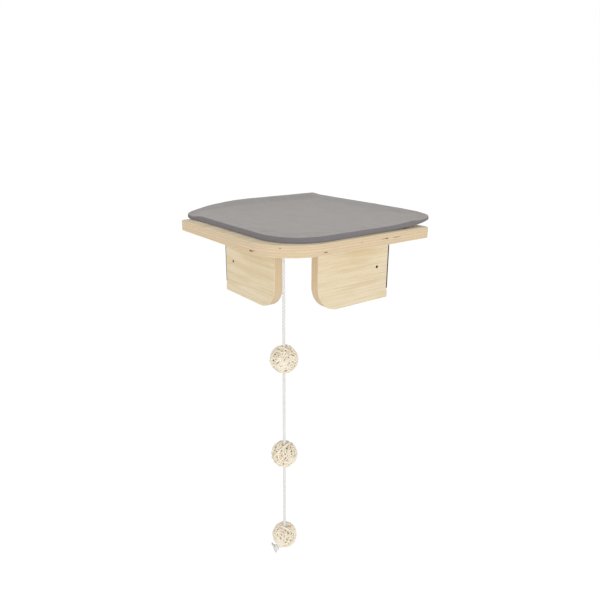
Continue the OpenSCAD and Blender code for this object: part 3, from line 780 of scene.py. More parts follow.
# How uneven the yarns are sideways at their tips, in length, and sideways at their middles.
FAN_SPREAD = 0.0006
FAN_SHORT = 0.03
FAN_BEND = 0.0003


def yarn(foot, middle, tip):
    """One yarn from foot to tip, which gets thinner at its tip."""
    radii = [YARN, YARN, YARN_TIP * YARN]
    return tube_parts(np.array([foot, middle, tip]), radii, YARN_SIDES, deep=np.zeros(3))


def brush_of_yarns(place, radius):
    """Short yarns that stand upright out of the cord's cut end."""
    yarns = []
    for i in range(YARNS):
        spread = radius * math.sqrt((i + 0.5) / YARNS)
        side = Matrix.Rotation(i * YARN_TURN, 3, "Z") @ Vector((1, 0, 0))
        foot = Vector(place) + side * spread * YARN_FOOT - UP * YARN_ROOT
        length = YARN_LENGTH[0] + YARN_LENGTH[1] * math.sin(i * 1.7)
        tip = foot + UP * length + side * spread * YARN_LEAN
        yarns.append(yarn(foot, (foot + tip) / 2 + side * 0.0001, tip))
    return yarns


def fan_of_yarns():
    """Yarns that fan out from the knot at the string's end."""
    roots = [Vector(tail_place(*p)) for p in FRAY_ROOTS]
    tips = [Vector(tail_place(*p)) for p in FRAY_TIPS]
    across = Vector((-math.sin(TAIL_AZIMUTH), math.cos(TAIL_AZIMUTH), 0))
    yarns = []
    for layer in range(FAN_LAYERS):
        off = sizes().cord * (FAN_STEP * layer - FAN_FIRST)
        for i in range(FAN_YARNS):
            share = (i + layer / FAN_LAYERS) / FAN_YARNS
            root = roots[0].lerp(roots[1], share) + across * off * FAN_ROOTS
            aside = off + FAN_SPREAD * math.sin(i * 1.7 + layer)
            tip = tips[0].lerp(tips[1], share) + across * aside
            tip = tip.lerp(root, FAN_SHORT * (1 + math.sin(i * 2.3 + layer)))
            bend = across * FAN_BEND * math.sin(i * 3.1)
            yarns.append(yarn(root, (root + tip) / 2 + bend, tip))
    return yarns


def settle(piece, body, node=None):
    """Ties a piece to its body, and the node of the frame that it replaces."""
    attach(piece, body)
    if node:
        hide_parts(node)


class PLATFORM_OT_cord(bpy.types.Operator):
    """Add the three stretches of cotton cord and the knots on them"""

    bl_idname = "platform.cord"
    bl_label = "Cord and knots"

    def execute(self, context):
        material = twisted_cotton()
        radius = sizes().cord / 2
        knots = {}
        for name in PIVOTS:
            low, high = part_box("knot_" + name)
            place = Matrix.Translation((low + high) / 2)
            knot = tube_piece("cord_knot_" + name, [knot_tube(place)], material)
            settle(knot, "string_" + name, "knot_" + name)
            knots[name] = [knot]
        knots["lower"].append(self.end_knot(material))
        self.anchor(material, radius)
        for name in PIVOTS:
            line = cord_line(name)
            cord = tube_piece("cord_" + name,
                [cord_tube(line, radius, True, name != "lower")], material)
            settle(cord, "string_" + name, "rope_" + name)
        return {"FINISHED"}

    def end_knot(self, material):
        """The knot at the string's end, and the short frayed tail that comes out of it."""
        turn = Matrix.Rotation(TAIL_AZIMUTH, 4, "Z") @ Matrix.Rotation(math.pi / 2, 4, "Y")
        knot = knot_tube(Matrix.Translation(tail_place(*END_KNOT_PLACE)) @ turn)
        tail = cord_tube([tail_place(*p) for p in (END_KNOT_PLACE, TAIL_END)], sizes().cord / 2)
        piece = tube_piece("cord_knot_end", [knot, tail] + fan_of_yarns(), material)
        settle(piece, "string_lower", "end_knot")
        return piece

    def anchor(self, material, radius):
        """The knot that holds the string in the board, with the rope's short upper end."""
        low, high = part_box("anchor_knot")
        knot = knot_tube(Matrix.Translation(on_string(ANCHOR_MIDDLE)))
        rope = cord_tube([on_string(low.z), on_string(high.z - ANCHOR_CUT)], radius)
        yarns = brush_of_yarns(on_string(high.z - BRUSH_DEPTH), radius * 0.9)
        yarns = [(np.minimum(points, [1, 1, high.z]), *rest) for points, *rest in yarns]
        piece = tube_piece("cord_knot_anchor", [knot, rope] + yarns, material)
        settle(piece, "platform", "anchor_knot")


# Wound balls

# The cane runs from pole to pole of each layer, given as azimuth and elevation in degrees. The
# first four are those of the part's source, and the rest carry the winding on.
WINDING_POLES = [(77, 28), (350, -49), (280, 31), (9, -21), (140, 38), (262, -30), (40, 24),
    (185, -44), (310, 17), (95, -12)]
WINDING_CAP = math.radians(17)
CROSSOVER_ANGLE = math.radians(110)
CROSSOVER_RINGS = 6
RINGS_PER_TURN = 40
# The cane's section has two lobes with shallow grooves between, which turn once in each lay.
CANE_SIDES = 8
CANE_LOBES = 2
CANE_GROOVE = 0.16
CANE_LAY = 0.045
CANE_STEP = 0.0013
CORD_CLEAR = 0.0002
# How far each ball's winding is turned from the one above, in radians.
BALL_TURN = 1.9
# Waves and ripples in the cane's run: how close they lie, and how far they reach. Without a
# seed they would differ from run to run.
WAVES = (3.2, 0.18)
RIPPLES = (9.0, 0.08)
WAVE_SEED = 7


def direction_of(azimuth, elevation):
    a, e = math.radians(azimuth), math.radians(elevation)
    return Vector((math.cos(e) * math.cos(a), math.cos(e) * math.sin(a), math.sin(e)))


def circle_frame(p, q, share):
    """The circle around pole p whose points open out towards pole q as share goes from 0 to 1."""
    opening = WINDING_CAP + (math.pi - 2 * WINDING_CAP) * share
    k = math.tan(opening / 2) ** 2
    m = k * q - p
    side = p.cross(q).normalized()
    return (k - 1) / m.length, m.normalized(), side


def circle_point(p, q, share, phase):
    c, n, side = circle_frame(p, q, share)
    return c * n + math.sqrt(1 - c * c) * (math.cos(phase) * side.cross(n) + math.sin(phase) * side)


def crossover(p, start, end, turn):
    """Points round pole p from where one layer ends to where the next starts."""
    e = (start - start.dot(p) * p).normalized()
    f = p.cross(e)
    round_by = (turn * math.atan2(end.dot(f), end.dot(e))) % (2 * math.pi)
    points = []
    for i in range(1, CROSSOVER_RINGS):
        t = i / CROSSOVER_RINGS
        a = turn * round_by * t
        b = start.angle(p) + (end.angle(p) - start.angle(p)) * t
        points.append(math.cos(b) * p + math.sin(b) * (math.cos(a) * e + math.sin(a) * f))
    return points


def winding():
    """Directions along the cane of a whole ball, and their depths in layers."""
    poles = [direction_of(*p) for p in WINDING_POLES]
    turns = sizes().layer_turns
    count = round(turns * RINGS_PER_TURN)
    directions, depths = [], []
    phase = 0.0
    for layer in range(sizes().layers):
        p, q = poles[layer], poles[layer + 1]
        turn = 1 if layer % 2 == 0 else -1
        if layer:
            last = directions[-1]
            e = (last - last.dot(p) * p).normalized()
            ahead = math.cos(CROSSOVER_ANGLE) * e - turn * math.sin(CROSSOVER_ANGLE) * p.cross(e)
            _, n, side = circle_frame(p, q, 0)
            phase = math.atan2(ahead.dot(side), ahead.dot(side.cross(n)))
            start = circle_point(p, q, 0, phase)
            bridge = crossover(p, last, start, -turn)
            directions += bridge
            depths += [layer - 1 + (i + 1) / CROSSOVER_RINGS for i in range(len(bridge))]
        for i in range(count + 1):
            angle = phase + turn * 2 * math.pi * turns * i / count
            directions.append(circle_point(p, q, i / count, angle))
            depths.append(float(layer))
    return np.array(directions), np.array(depths)


def cane_line(diameter, seed):
    """The middle of the cane in a ball about the origin, and how deep it lies, from 0 to 1."""
    directions, depths = winding()
    turned = Matrix.Rotation(seed, 3, "Z")
    wavy = []
    for d in directions:
        v = turned @ Vector(d)
        wave = noise.noise_vector(v * WAVES[0] + Vector((seed, 7.1, 2.3)))
        ripple = noise.noise_vector(v * RIPPLES[0] + Vector((3.7, seed, 5.9)))
        wavy.append(v + WAVES[1] * wave + RIPPLES[1] * ripple)
    unit = unit_rows(np.array(wavy))
    strand = sizes().strand / 2
    reach = diameter / 2 - strand - depths * sizes().layer_step
    line = unit * reach[:, None]
    keep_off = sizes().cord / 2 + strand + CORD_CLEAR
    out = np.linalg.norm(line[:, :2], axis=1)
    line[:, :2] *= (np.sqrt(out ** 2 + keep_off ** 2) / np.maximum(out, 1e-6))[:, None]
    line = unit_rows(line) * reach[:, None]
    along = run_of(line)
    even = respaced(line, CANE_STEP)
    places = np.linspace(0, along[-1], len(even))
    # How deep each point lies, from which the cane's material paints shade.
    deep = np.interp(places, along, depths) / (sizes().layers - 1)
    return even, np.clip(deep, 0, 1) ** 1.1


class PLATFORM_OT_balls(bpy.types.Operator):
    """Add the three balls of wound cane"""

    bl_idname = "platform.balls"
    bl_label = "Wound balls"

    def execute(self, context):
        material = split_cane()
        noise.seed_set(WAVE_SEED)
        for number, (name, height) in enumerate(BALL_CENTRES.items()):
            line, deep = cane_line(BALL_DIAMETERS[name], BALL_TURN * number)
            radii = end_rounding(line, sizes().strand / 2, True, True)
            tube = tube_parts(line + on_string(height), radii, CANE_SIDES, CANE_LOBES,
                CANE_GROOVE, CANE_LAY, deep)
            ball = tube_piece("cane_ball_" + name, [tube], material)
            settle(ball, "ball_" + name, "ball_" + name)
        return {"FINISHED"}


# Board and brackets

# Radii and lengths of what cuts the holes. It stands out of the wood where a hole is open.
OUTSIDE = 0.001
THROUGH = 0.030
SCREW_HOLE = 0.00205
PILOT_BOTTOM = -0.0285
# A screw's countersink: its depth, its cutter's lower radius and length, and how much wider than
# the head it is.
SINK_DEPTH = 0.0024
SINK_FOOT = (0.00195, 0.00245)
SINK_CLEAR = 0.0003
ROD_BORE = (0.00405, 0.076)
LOCK_BORE = (0.0028, 0.010)
STRING_HOLE = 0.0038
STRING_FLARE = 0.0011
FLARE_OUTSIDE = 0.00005
KNOT_BORE = (0.007, 0.020)
REBATE_OUTSIDE = 0.01
# The right bracket is the left one seen in a mirror that stands between the two walls.
MIRROR = Matrix(((0, -1, 0, 0), (-1, 0, 0, 0), (0, 0, 1, 0), (0, 0, 0, 1)))


def screw_places():
    """How far off the wall a bracket's two board screws are, how far sideways, and their radius."""
    low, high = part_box("left_board_screws")
    head = (high.y - low.y) / 2
    return (low.x + head, high.x - head), (low.y + high.y) / 2, head


class PLATFORM_OT_board(bpy.types.Operator):
    """Add the plywood board with its screw holes and the string's hole"""

    bl_idname = "platform.board"
    bl_label = "Board"

    def execute(self, context):
        s = sizes()
        side = BOARD_SIDE
        corners = [((side, -side, 0), s.front_radius, 48), ((side, 0, 0), s.tip_radius, 12),
            ((0, -side, 0), s.tip_radius, 12), ((0, 0, 0), s.back_radius, 6)]
        board = sanded_slab("plywood_board", BOARD_LOW, BOARD_HIGH, 2, corners, s.board_round)
        distances, middle, head = screw_places()
        for distance in distances:
            for place in ((distance, middle), (-middle, -distance)):
                drill(board, (*place, -OUTSIDE), UP, SCREW_HOLE, THROUGH)
                drill(board, (*place, BOARD_T - SINK_DEPTH), UP, *SINK_FOOT, head + SINK_CLEAR)
        drill(board, on_string(-OUTSIDE), UP, STRING_HOLE, THROUGH)
        drill(board, on_string(-FLARE_OUTSIDE), UP, STRING_HOLE + STRING_FLARE, STRING_FLARE,
            STRING_HOLE)
        drill(board, on_string(KNOT_SEAT), UP, *KNOT_BORE)
        edge = plywood_edge("birch_plywood_edge", "z", 0.0, EDGE_VOIDS)
        finish_slab(board, 2, birch_veneer("y"), edge)
        settle(board, "platform", "board")
        return {"FINISHED"}


class PLATFORM_OT_brackets(bpy.types.Operator):
    """Add the two plywood brackets with their holes"""

    bl_idname = "platform.brackets"
    bl_label = "Brackets"

    def execute(self, context):
        s = sizes()
        low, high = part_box("left_bracket")
        plate_low, plate_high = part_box("left_wall_plate")
        foot_top = plate_low.z - (high.z - plate_high.z)
        corners = [((high.x, 0, low.z), s.bracket_front_radius, 32)]
        for x, z in ((high.x, high.z), (low.x, low.z), (low.x, foot_top), (plate_high.x, high.z)):
            corners.append(((x, 0, z), s.bracket_corner_radius, 5))
        out = REBATE_OUTSIDE
        rebate = ((low.x - out, low.y - out, foot_top), (plate_high.x, high.y + out, out))
        bracket = sanded_slab("left_plywood_bracket", low, high, 1, corners, s.bracket_round,
            rebate)
        self.drill_holes(bracket, low)
        twin = bracket.copy()
        twin.data = bracket.data.copy()
        twin.name = twin.data.name = "right_plywood_bracket"
        context.scene.collection.objects.link(twin)
        twin.data.transform(MIRROR)
        twin.data.flip_normals()
        for piece, node, across, along, edge_low in (
                (bracket, "left_bracket", "y", "x", low.y),
                (twin, "right_bracket", "x", "y", -high.y)):
            edge = plywood_edge(node + "_edge", across, edge_low, [])
            finish_slab(piece, "xyz".index(across), birch_veneer(along), edge)
            settle(piece, "platform", node)
        return {"FINISHED"}

    def drill_holes(self, bracket, low):
        """Bores for the support rod, the lock screw and the board screws."""
        rod_low, rod_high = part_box("left_support_rod")
        lock_low, lock_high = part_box("left_lock_screw")
        middle = (rod_low + rod_high) / 2
        drill(bracket, (low.x - OUTSIDE, middle.y, middle.z), (1, 0, 0), *ROD_BORE)
        lock_x = (lock_low.x + lock_high.x) / 2
        drill(bracket, (lock_x, low.y - OUTSIDE, middle.z), (0, 1, 0), *LOCK_BORE)
        distances, sideways, _ = screw_places()
        for distance in distances:
            drill(bracket, (distance, sideways, PILOT_BOTTOM), UP, SCREW_HOLE, THROUGH)


# Mat

# Squares along each side of the mat's grid, and about how wide each is.
GRID = 68
GRID_STEP = 0.0042
# Rows of the side panel: share of its height, how far it bulges, and share of the foot's spread.
SIDE_LEVELS = [(1.0, -0.0006, 0.0), (0.8, 0.0, 0.2), (0.5, 0.0003, 0.5), (0.2, 0.0002, 0.85),
    (0.05, 0.0, 1.0), (0.0, -0.0003, 1.0)]
# The side panel's foot spreads over the board at the front corner and the left free side.
FOOT_SPREAD = 0.0026
SPREAD_START = 0.08
SPREAD_RUN = 0.12
SPREAD_WALL_RUN = 0.02
CORNER_SPREAD = 0.0022
CORNER_RUN = 0.12
# The mat stands up at the walls, as in the part's source: a sharp upturn and a gentle rise.
CURL_HEIGHT = 0.009
CURL_WIDTH = 0.020
RISE_HEIGHT = 0.010
RISE_WIDTH = 0.090
RIGHT_SHARE = 0.82
# How much lower the upturn and the rise are at the left and right side corners.
LEFT_FADES = (0.45, 1.0)
RIGHT_FADES = (0.12, 0.12)
FADE_WIDTH = 0.130
# How much narrower the upturn is at the left side corner.
LEFT_NARROWING = 0.45
# How much thinner the mat is at its left and right side corners, and within what distance.
TIP_THIN = (0.58, 0.72)
TIP_THIN_WIDTH = (0.045, 0.034)
# How much less of that reaches along the walls.
WALL_KEEP = 0.8
# At the walls the top's seam stands up.
WALL_LIP = 0.0012
WALL_LIP_WIDTH = 0.008
WALL_CLEAR = 0.0004
# As sewn, the top is drawn in at its seam, a little full inside it, and uneven.
TOP_DRAW = 0.996
SEWN_PUFF = 0.0012
SEWN_PUFF_WIDTH = 0.008
DENT = 0.0009
DENTS_PER_METRE = 26
DENT_LAYER = 4.2
DENT_WIDTH = 0.02
# How firmly the seam holds its place while the mat is filled, and for how many frames.
SEAM_HOLD = 0.75
FILLING_FRAMES = 20
# Cloth settings for the mat's filling. Negative shrinking lets the cover grow.
FILLING = {"quality": 5, "mass": 0.3, "tension_stiffness": 12, "compression_stiffness": 12,
    "bending_stiffness": 0.6, "use_pressure": True, "uniform_pressure_force": 4,
    "vertex_group_mass": "held", "shrink_min": -0.012}
# The mat's base gives way over the hook and loop patches: their radius, up to what height, the
# width of the hollow's rim and of its slope, and what stays clear above them.
PATCH_RADIUS = 0.012
PATCH_REACH = 0.0030
PATCH_MARGIN = 0.0008
PATCH_SLOPE = 0.005
PATCH_CLEAR = 0.0001
# A stitch shows at four of five places. It dips into the cloth at its ends.
STITCH_PLACES = 5
THREAD_RADII = (0.00018, 0.00024, 0.00024, 0.00018)
THREAD_LIFTS = (0.00002, 0.00016, 0.00016, 0.00002)


def smooth_step(t):
    return t * t * (3 - 2 * t)


def share_of(t):
    """A share, kept between 0 and 1."""
    return min(1, max(0, t))


def arc(centre, radius, start, count):
    angles = [math.radians(start + 90 * i / count) for i in range(count + 1)]
    return [(centre[0] + radius * math.cos(a), centre[1] + radius * math.sin(a)) for a in angles]


def side_between(a, b, count=60):
    """The points between two corners of the mat."""
    return [(a[0] + (b[0] - a[0]) * i / count, a[1] + (b[1] - a[1]) * i / count)
        for i in range(1, count)]


def drawn_out(distance):
    """How far a free side is drawn out at a distance from its wall."""
    s = sizes()
    return s.mat_flare * max(0, 1 - distance / s.mat_flare_width) ** 1.5


def mat_sides():
    """The mat's outline in four stretches, each from the middle of one corner to the next."""
    s = sizes()
    far_x, far_y = BOARD_SIDE - s.mat_right_inset, BOARD_SIDE - s.mat_left_inset
    tip, back, front, gap = s.mat_tip_radius, s.mat_back_radius, s.mat_front_radius, s.mat_wall_gap
    corners = [
        arc((far_x - tip, -gap - tip), tip, 0, 16),
        arc((gap + back, -gap - back), back, 90, 16),
        arc((gap + tip, tip - far_y), tip, 180, 16),
        arc((far_x - front, front - far_y), front, 270, 48)]
    stretches = []
    for corner, following in zip(corners, corners[1:] + corners[:1]):
        half, next_half = len(corner) // 2, len(following) // 2
        outline = corner[half:] + side_between(corner[-1], following[0])
        outline += following[:next_half + 1]
        flat = np.array([(x + drawn_out(-y) * (x / far_x) ** 2,
            y - drawn_out(x) * (y / far_y) ** 2, 0) for x, y in outline])
        lengths = run_of(flat)
        places = np.linspace(0, lengths[-1], GRID + 1)
        stretches.append(np.stack([np.interp(places, lengths, flat[:, k]) for k in (0, 1)],
            axis=1))
    return stretches


def patchwork():
    """Points of a square grid that fills the mat's outline."""
    right_back, left, bottom, front_right = mat_sides()
    top, right = right_back[::-1], front_right[::-1]
    grid = np.zeros((GRID + 1, GRID + 1, 2))
    for i in range(GRID + 1):
        v = i / GRID
        for j in range(GRID + 1):
            u = j / GRID
            corners = ((1 - u) * (1 - v) * top[0] + u * (1 - v) * top[-1]
                + (1 - u) * v * bottom[0] + u * v * bottom[-1])
            grid[i, j] = ((1 - v) * top[j] + v * bottom[j] + (1 - u) * left[i] + u * right[i]
                - corners)
    return grid


def wall_rise(distance, side, fades, curl_width):
    """How high the mat stands at a distance from a wall and from the side corner there."""
    near_corner = max(0, 1 - side / FADE_WIDTH) ** 2
    curl = CURL_HEIGHT * max(0, 1 - distance / curl_width) ** 1.5 * (1 - fades[0] * near_corner)
    rise = RISE_HEIGHT * max(0, 1 - distance / RISE_WIDTH) ** 2 * (1 - fades[1] * near_corner)
    return curl + rise


def mat_lift(x, y):
    """How far the mat's underside is off the board."""
    s = sizes()
    left_tip = BOARD_SIDE - s.mat_left_inset + s.mat_flare
    right_tip = BOARD_SIDE - s.mat_right_inset + s.mat_flare
    near_left = max(0, 1 - (left_tip + y) / FADE_WIDTH) ** 2
    left = wall_rise(x, left_tip + y, LEFT_FADES, CURL_WIDTH * (1 - LEFT_NARROWING * near_left))
    right = RIGHT_SHARE * wall_rise(-y, right_tip - x, RIGHT_FADES, CURL_WIDTH)
    return (left ** 4 + right ** 4) ** 0.25


def side_height(x, y):
    """Height of the side panel, which tapers along the free sides towards the side corners."""
    tips = ((0.0, -BOARD_SIDE + sizes().mat_left_inset / 2, x), (BOARD_SIDE, 0.0, -y))
    thin = 0.0
    for (tip_x, tip_y, off_wall), most, width in zip(tips, TIP_THIN, TIP_THIN_WIDTH):
        near_by = max(1e-6, math.dist((x, y), (tip_x, tip_y)))
        along_wall = 1 - share_of(off_wall / near_by)
        thin += most * smooth_step(max(0, 1 - near_by / width)) * (1 - WALL_KEEP * along_wall)
    lip = WALL_LIP * math.exp(-max(0, min(x, -y)) / WALL_LIP_WIDTH)
    return sizes().mat_side * (1 - thin) + lip


def foot_spread(x, y):
    """How far the side panel's foot spreads beyond the outline."""
    along = smooth_step(share_of((-y - SPREAD_START) / SPREAD_RUN)) * share_of(x / SPREAD_WALL_RUN)
    to_corner = math.dist((x, y), (BOARD_SIDE, -BOARD_SIDE))
    return FOOT_SPREAD * along + CORNER_SPREAD * smooth_step(max(0, 1 - to_corner / CORNER_RUN))


def ring_of(count):
    """Grid places of the edge, once round."""
    ring = [(0, j) for j in range(count)]
    ring += [(i, count) for i in range(count)]
    ring += [(count, j) for j in range(count, 0, -1)]
    ring += [(i, 0) for i in range(count, 0, -1)]
    return ring


def outward_of(outline):
    """The outward direction at each point of a closed outline."""
    flat = np.array(outline)
    ahead = np.roll(flat, -1, axis=0) - np.roll(flat, 1, axis=0)
    outward = unit_rows(np.stack([ahead[:, 1], -ahead[:, 0]], axis=1))
    return outward * np.sign(((flat - flat.mean(axis=0)) * outward).sum(axis=1))[:, None]


class PLATFORM_OT_mat(bpy.types.Operator):
    """Add the padded mat with its sewn side panel"""

    bl_idname = "platform.mat"
    bl_label = "Padded mat"

    def execute(self, context):
        mat, seam = self.sewn_cover()
        self.fill_cover(mat, context.scene)
        self.clear_patches(mat)
        stitch_line = [mat.data.vertices[i].co.copy() for i in seam]
        apply_modifier(mat, "SUBSURF", {"levels": 1, "render_levels": 1})
        mat.data.polygons.foreach_set("use_smooth", [True] * len(mat.data.polygons))
        stitches = self.stitching(mat, stitch_line)
        settle(mat, "mat", "mat")
        settle(stitches, "mat")
        return {"FINISHED"}

    def sewn_cover(self):
        """The cover as cut and sewn, of top, side panel and base, and its row of stitches."""
        ring = ring_of(GRID)
        points, top, base, rows = self.cover_points(ring)
        faces, kinds = [], []
        for places, kind in ((top, 0), (base, 2)):
            for i in range(GRID):
                for j in range(GRID):
                    face = (places[i, j], places[i + 1, j], places[i + 1, j + 1], places[i, j + 1])
                    faces.append(face if kind == 0 else face[::-1])
                    kinds.append(kind)
        for upper, lower in zip(rows, rows[1:]):
            for k in range(len(ring)):
                m = (k + 1) % len(ring)
                faces.append((upper[k], upper[m], lower[m], lower[k]))
                kinds.append(1)
        mat = plain_mesh("fleece_mat", points, faces, [fleece(), side_knit(), dotted_cloth()])
        mat.data.polygons.foreach_set("material_index", kinds)
        take(mat)
        bpy.ops.object.mode_set(mode="EDIT")
        bpy.ops.mesh.select_all(action="SELECT")
        bpy.ops.mesh.normals_make_consistent(inside=False)
        bpy.ops.object.mode_set(mode="OBJECT")
        group = mat.vertex_groups.new(name="held")
        group.add(sorted(set(base.values()) | set(rows[-2]) | set(rows[-3])), 1.0, "REPLACE")
        group.add(rows[0], SEAM_HOLD, "REPLACE")
        return mat, rows[1]

    def cover_points(self, ring):
        """The cover's points, their numbers in its top and base, and the side panel's rows."""
        grid = patchwork()
        middle = grid[GRID // 2, GRID // 2]
        outward = dict(zip(ring, outward_of([grid[p] for p in ring])))
        foot = SIDE_LEVELS[-1][1]
        points, top, base = [], {}, {}
        for places, is_top in ((top, True), (base, False)):
            for i in range(GRID + 1):
                for j in range(GRID + 1):
                    x, y = drawn = grid[i, j]
                    edge = min(i, j, GRID - i, GRID - j) * GRID_STEP
                    if edge == 0 and is_top:
                        drawn = middle + (drawn - middle) * TOP_DRAW
                    elif edge == 0:
                        drawn = drawn + outward[i, j] * (foot + foot_spread(x, y))
                    puff = SEWN_PUFF * (1 - math.exp(-edge / SEWN_PUFF_WIDTH))
                    dent_place = Vector((x * DENTS_PER_METRE, y * DENTS_PER_METRE, DENT_LAYER))
                    dent = DENT * noise.noise(dent_place) * min(1, edge / DENT_WIDTH)
                    rise = side_height(x, y) + puff + dent if is_top else 0.0
                    places[i, j] = len(points)
                    points.append((*drawn, BOARD_T + mat_lift(x, y) + rise))
        rows = [[top[p] for p in ring]]
        for level, bulge, spread in SIDE_LEVELS[1:-1]:
            rows.append([])
            for p in ring:
                x, y = grid[p]
                out = outward[p] * (bulge + spread * foot_spread(x, y))
                rows[-1].append(len(points))
                points.append((x + out[0], y + out[1],
                    BOARD_T + mat_lift(x, y) + side_height(x, y) * level))
        rows.append([base[p] for p in ring])
        return points, top, base, rows

    def fill_cover(self, mat, scene):
        """Lets the filling push the cover out, as cloth under a little pressure."""
        rest = np.array([v.co for v in mat.data.vertices])
        take(mat)
        cloth = mat.modifiers.new("filling", "CLOTH")
        for name, value in FILLING.items():
            setattr(cloth.settings, name, value)
        cloth.settings.effector_weights.gravity = 0
        for number in range(1, FILLING_FRAMES + 1):
            scene.frame_set(number)
        bpy.ops.object.modifier_apply(modifier="filling")
        scene.frame_set(1)
        moved = np.array([v.co for v in mat.data.vertices]) - rest
        distance = np.linalg.norm(moved, axis=1)
        cap = sizes().mat_puff
        share = cap * np.tanh(distance / cap) / np.maximum(distance, 1e-9)
        final = rest + moved * share[:, None]
        final[:, 0] = np.maximum(final[:, 0], WALL_CLEAR)
        final[:, 1] = np.minimum(final[:, 1], -WALL_CLEAR)
        mat.data.vertices.foreach_set("co", final.ravel())
        mat.data.update()

    def clear_patches(self, mat):
        """Shallow hollows in the base where the hook and loop patches lie."""
        low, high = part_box("hook_patches")
        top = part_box("loop_patches")[1].z
        centres = [Vector((x, y)) for x in (low.x + PATCH_RADIUS, high.x - PATCH_RADIUS)
            for y in (low.y + PATCH_RADIUS, high.y - PATCH_RADIUS)]
        for vertex in mat.data.vertices:
            if vertex.co.z < BOARD_T + PATCH_REACH:
                near_by = min((vertex.co.xy - c).length for c in centres)
                slope = (near_by - PATCH_RADIUS - PATCH_MARGIN) / PATCH_SLOPE
                share = 1 - smooth_step(share_of(slope))
                vertex.co.z += share * max(0, top + PATCH_CLEAR - vertex.co.z)

    def stitching(self, mat, seam):
        """A row of stitches on the side panel, just under the seam."""
        surface = BVHTree.FromObject(mat, bpy.context.evaluated_depsgraph_get())
        closed = np.array([tuple(p) for p in seam + seam[:1]])
        total = run_of(closed)[-1]
        count = round(total / sizes().stitch)
        line = respaced(closed, total / (count * STITCH_PLACES))
        tubes = []
        for k in range(count):
            stitch = []
            for i, lift in enumerate(THREAD_LIFTS):
                near_by = surface.find_nearest(Vector(line[k * STITCH_PLACES + i]))
                place, normal = near_by[:2]
                stitch.append(place + normal * lift)
            tubes.append(tube_parts(np.array(stitch), THREAD_RADII, YARN_SIDES,
                deep=np.zeros(len(stitch))))
        return tube_piece("mat_stitching", tubes, sewing_thread())


# Fittings, which are the frame's own nodes with better finishes

# Spacing and depth of the pile of the hook tape and the loop tape.
TAPES = {"hook": (0.0012, 0.0006), "loop": (0.0007, 0.0003)}


def give_finish(node, material):
    """Gives a node of the frame one material all over."""
    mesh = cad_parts[node].data
    if mesh.materials:
        for i in range(len(mesh.materials)):
            mesh.materials[i] = material
    else:
        mesh.materials.append(material)


class PLATFORM_OT_fittings(bpy.types.Operator):
    """Give the wall plates, rods, screws and tape patches their finishes"""

    bl_idname = "platform.fittings"
    bl_label = "Fittings"

    def execute(self, context):
        black, zinc = powder_coat(), zinc_plate()
        for side in ("left_", "right_"):
            for fitting, material in (("wall_plate", black), ("lock_screw", black),
                    ("support_rod", zinc), ("board_screws", zinc)):
                give_finish(side + fitting, material)
        for kind, pile in TAPES.items():
            tape = hook_and_loop(f"nylon_{kind}_tape", getattr(colours(), kind), *pile)
            give_finish(kind + "_patches", tape)
        return {"FINISHED"}


# Stage

CAMERA_PLACE = (0.8810, -0.7038, 0.1809)
CAMERA_PITCH = math.radians(71.92)
CAMERA_HEADING = math.radians(54.0)
# Focal length and sensor are in millimetres.
CAMERA = {"lens": 32.756, "sensor_width": 36, "sensor_fit": "HORIZONTAL", "shift_x": 0.01667,
    "clip_start": 0.01}
FLOOR_HEIGHT = -1.0
FLOOR_SIZE = 14
FLOOR_CUTS = 8
# The floor's paint, how brightly it shows to the camera, and how much of that covers the paint.
FLOOR_PAINT = 0.86
FLOOR_GLOW = 1.14
FLOOR_COVER = 0.80
# Strength of the light from all round.
SOFT_LIGHT = 0.62
# Place, width and power of each lamp, and the point at which they aim.
LAMPS = {"key_lamp": ((1.60, -0.20, -0.02), 1.2, 7.8),
    "fill_lamp": ((0.10, -1.60, -0.05), 1.4, 6.2)}
LOOKED_AT = Vector((0.16, -0.16, -0.12))


class PLATFORM_OT_camera(bpy.types.Operator):
    """Add the camera at the photograph's place and angle"""

    bl_idname = "platform.camera"
    bl_label = "Camera"

    def execute(self, context):
        data = bpy.data.cameras.new("camera")
        for name, value in CAMERA.items():
            setattr(data, name, value)
        camera = bpy.data.objects.new("camera", data)
        camera.location = CAMERA_PLACE
        camera.rotation_euler = (CAMERA_PITCH, 0, CAMERA_HEADING)
        context.scene.collection.objects.link(camera)
        context.scene.camera = camera
        return {"FINISHED"}


def seen_share(tree):
    """1 for what the camera sees, straight, in gloss or through glass, and 0 for other light."""
    rays = add_node(tree, "LightPath", {})
    seen = rays.outputs["Is Camera Ray"]
    for kind in ("Is Glossy Ray", "Is Transmission Ray"):
        seen = add_node(tree, "Math", {0: seen, 1: rays.outputs[kind]}, operation="MAXIMUM")
    return seen


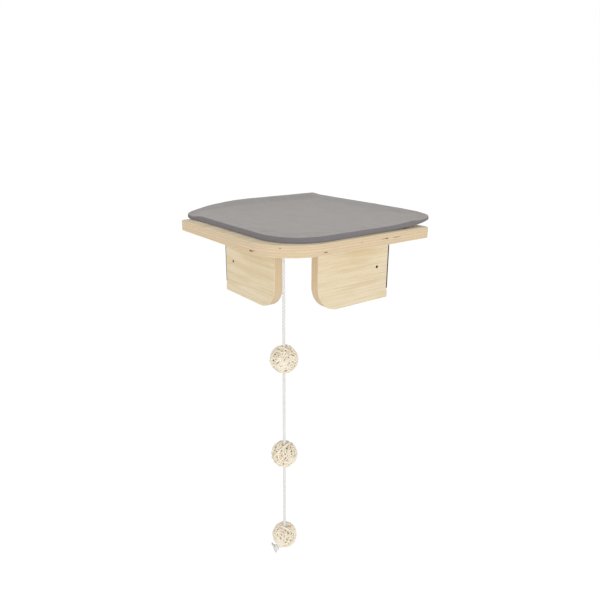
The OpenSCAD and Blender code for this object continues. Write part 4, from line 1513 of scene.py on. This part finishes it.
class PLATFORM_OT_stage(bpy.types.Operator):
    """Add the pale floor, the lamps and the background"""

    bl_idname = "platform.stage"
    bl_label = "Stage"

    def execute(self, context):
        context.scene.view_settings.view_transform = "Standard"
        self.floor()
        self.world(context.scene)
        for name, (place, size, power) in LAMPS.items():
            self.lamp(name, place, size, power)
        return {"FINISHED"}

    def floor(self):
        deselect_all()
        bpy.ops.mesh.primitive_plane_add(size=FLOOR_SIZE, location=(0, 0, FLOOR_HEIGHT))
        floor = name_added("floor")
        bpy.ops.object.mode_set(mode="EDIT")
        bpy.ops.mesh.subdivide(number_cuts=FLOOR_CUTS)
        bpy.ops.object.mode_set(mode="OBJECT")
        material, tree, _ = start_material("matt_white_floor")
        white = colours().stage
        paint = add_node(tree, "BsdfPrincipled", {
            "Base Color": darkened(white, FLOOR_PAINT), "Roughness": 0.9})
        plain = add_node(tree, "Emission", {"Color": white, "Strength": FLOOR_GLOW})
        cover = add_node(tree, "Math", {0: seen_share(tree), 1: FLOOR_COVER},
            operation="MULTIPLY")
        mixed = add_node(tree, "MixShader", {0: cover, 1: paint, 2: plain})
        add_node(tree, "OutputMaterial", {"Surface": mixed})
        floor.data.materials.append(material)

    def world(self, scene):
        world = bpy.data.worlds.new("studio")
        scene.world = world
        world.use_nodes = True
        tree = world.node_tree
        tree.nodes.clear()
        soft, plain = [add_node(tree, "Background", {
            "Color": colours().stage, "Strength": strength}) for strength in (SOFT_LIGHT, 1.0)]
        mixed = add_node(tree, "MixShader", {0: seen_share(tree), 1: soft, 2: plain})
        add_node(tree, "OutputWorld", {"Surface": mixed})

    def lamp(self, name, place, size, power):
        data = bpy.data.lights.new(name, "AREA")
        data.shape = "DISK"
        data.size = size
        data.energy = power
        lamp = bpy.data.objects.new(name, data)
        lamp.location = place
        lamp.rotation_euler = (LOOKED_AT - Vector(place)).to_track_quat("-Z", "Y").to_euler()
        bpy.context.scene.collection.objects.link(lamp)


class PLATFORM_PT_panel(bpy.types.Panel):
    """The pieces, sizes and colours of the platform"""

    bl_idname = "PLATFORM_PT_panel"
    bl_label = "Corner wall platform"
    bl_space_type = "VIEW_3D"
    bl_region_type = "UI"
    bl_category = "Platform"

    def draw(self, context):
        layout = self.layout
        for operator in OPERATORS:
            layout.operator(operator.bl_idname)
        for group in (context.scene.platform_sizes, context.scene.platform_colours):
            box = layout.box()
            for name in group.__annotations__:
                box.prop(group, name)


OPERATORS = (PLATFORM_OT_camera, PLATFORM_OT_cord, PLATFORM_OT_balls, PLATFORM_OT_board,
    PLATFORM_OT_brackets, PLATFORM_OT_mat, PLATFORM_OT_fittings, PLATFORM_OT_stage)
CLASSES = (PlatformSizes, PlatformColours) + OPERATORS + (PLATFORM_PT_panel,)


def register():
    for kind in CLASSES:
        bpy.utils.register_class(kind)
    bpy.types.Scene.platform_sizes = PointerProperty(type=PlatformSizes)
    bpy.types.Scene.platform_colours = PointerProperty(type=PlatformColours)


def unregister():
    del bpy.types.Scene.platform_colours
    del bpy.types.Scene.platform_sizes
    for kind in reversed(CLASSES):
        bpy.utils.unregister_class(kind)


def main():
    register()
    bpy.ops.platform.camera()
    bpy.ops.platform.cord()
    bpy.ops.platform.balls()
    bpy.ops.platform.board()
    bpy.ops.platform.brackets()
    bpy.ops.platform.mat()
    bpy.ops.platform.fittings()
    bpy.ops.platform.stage()


if __name__ == "__main__":
    main()
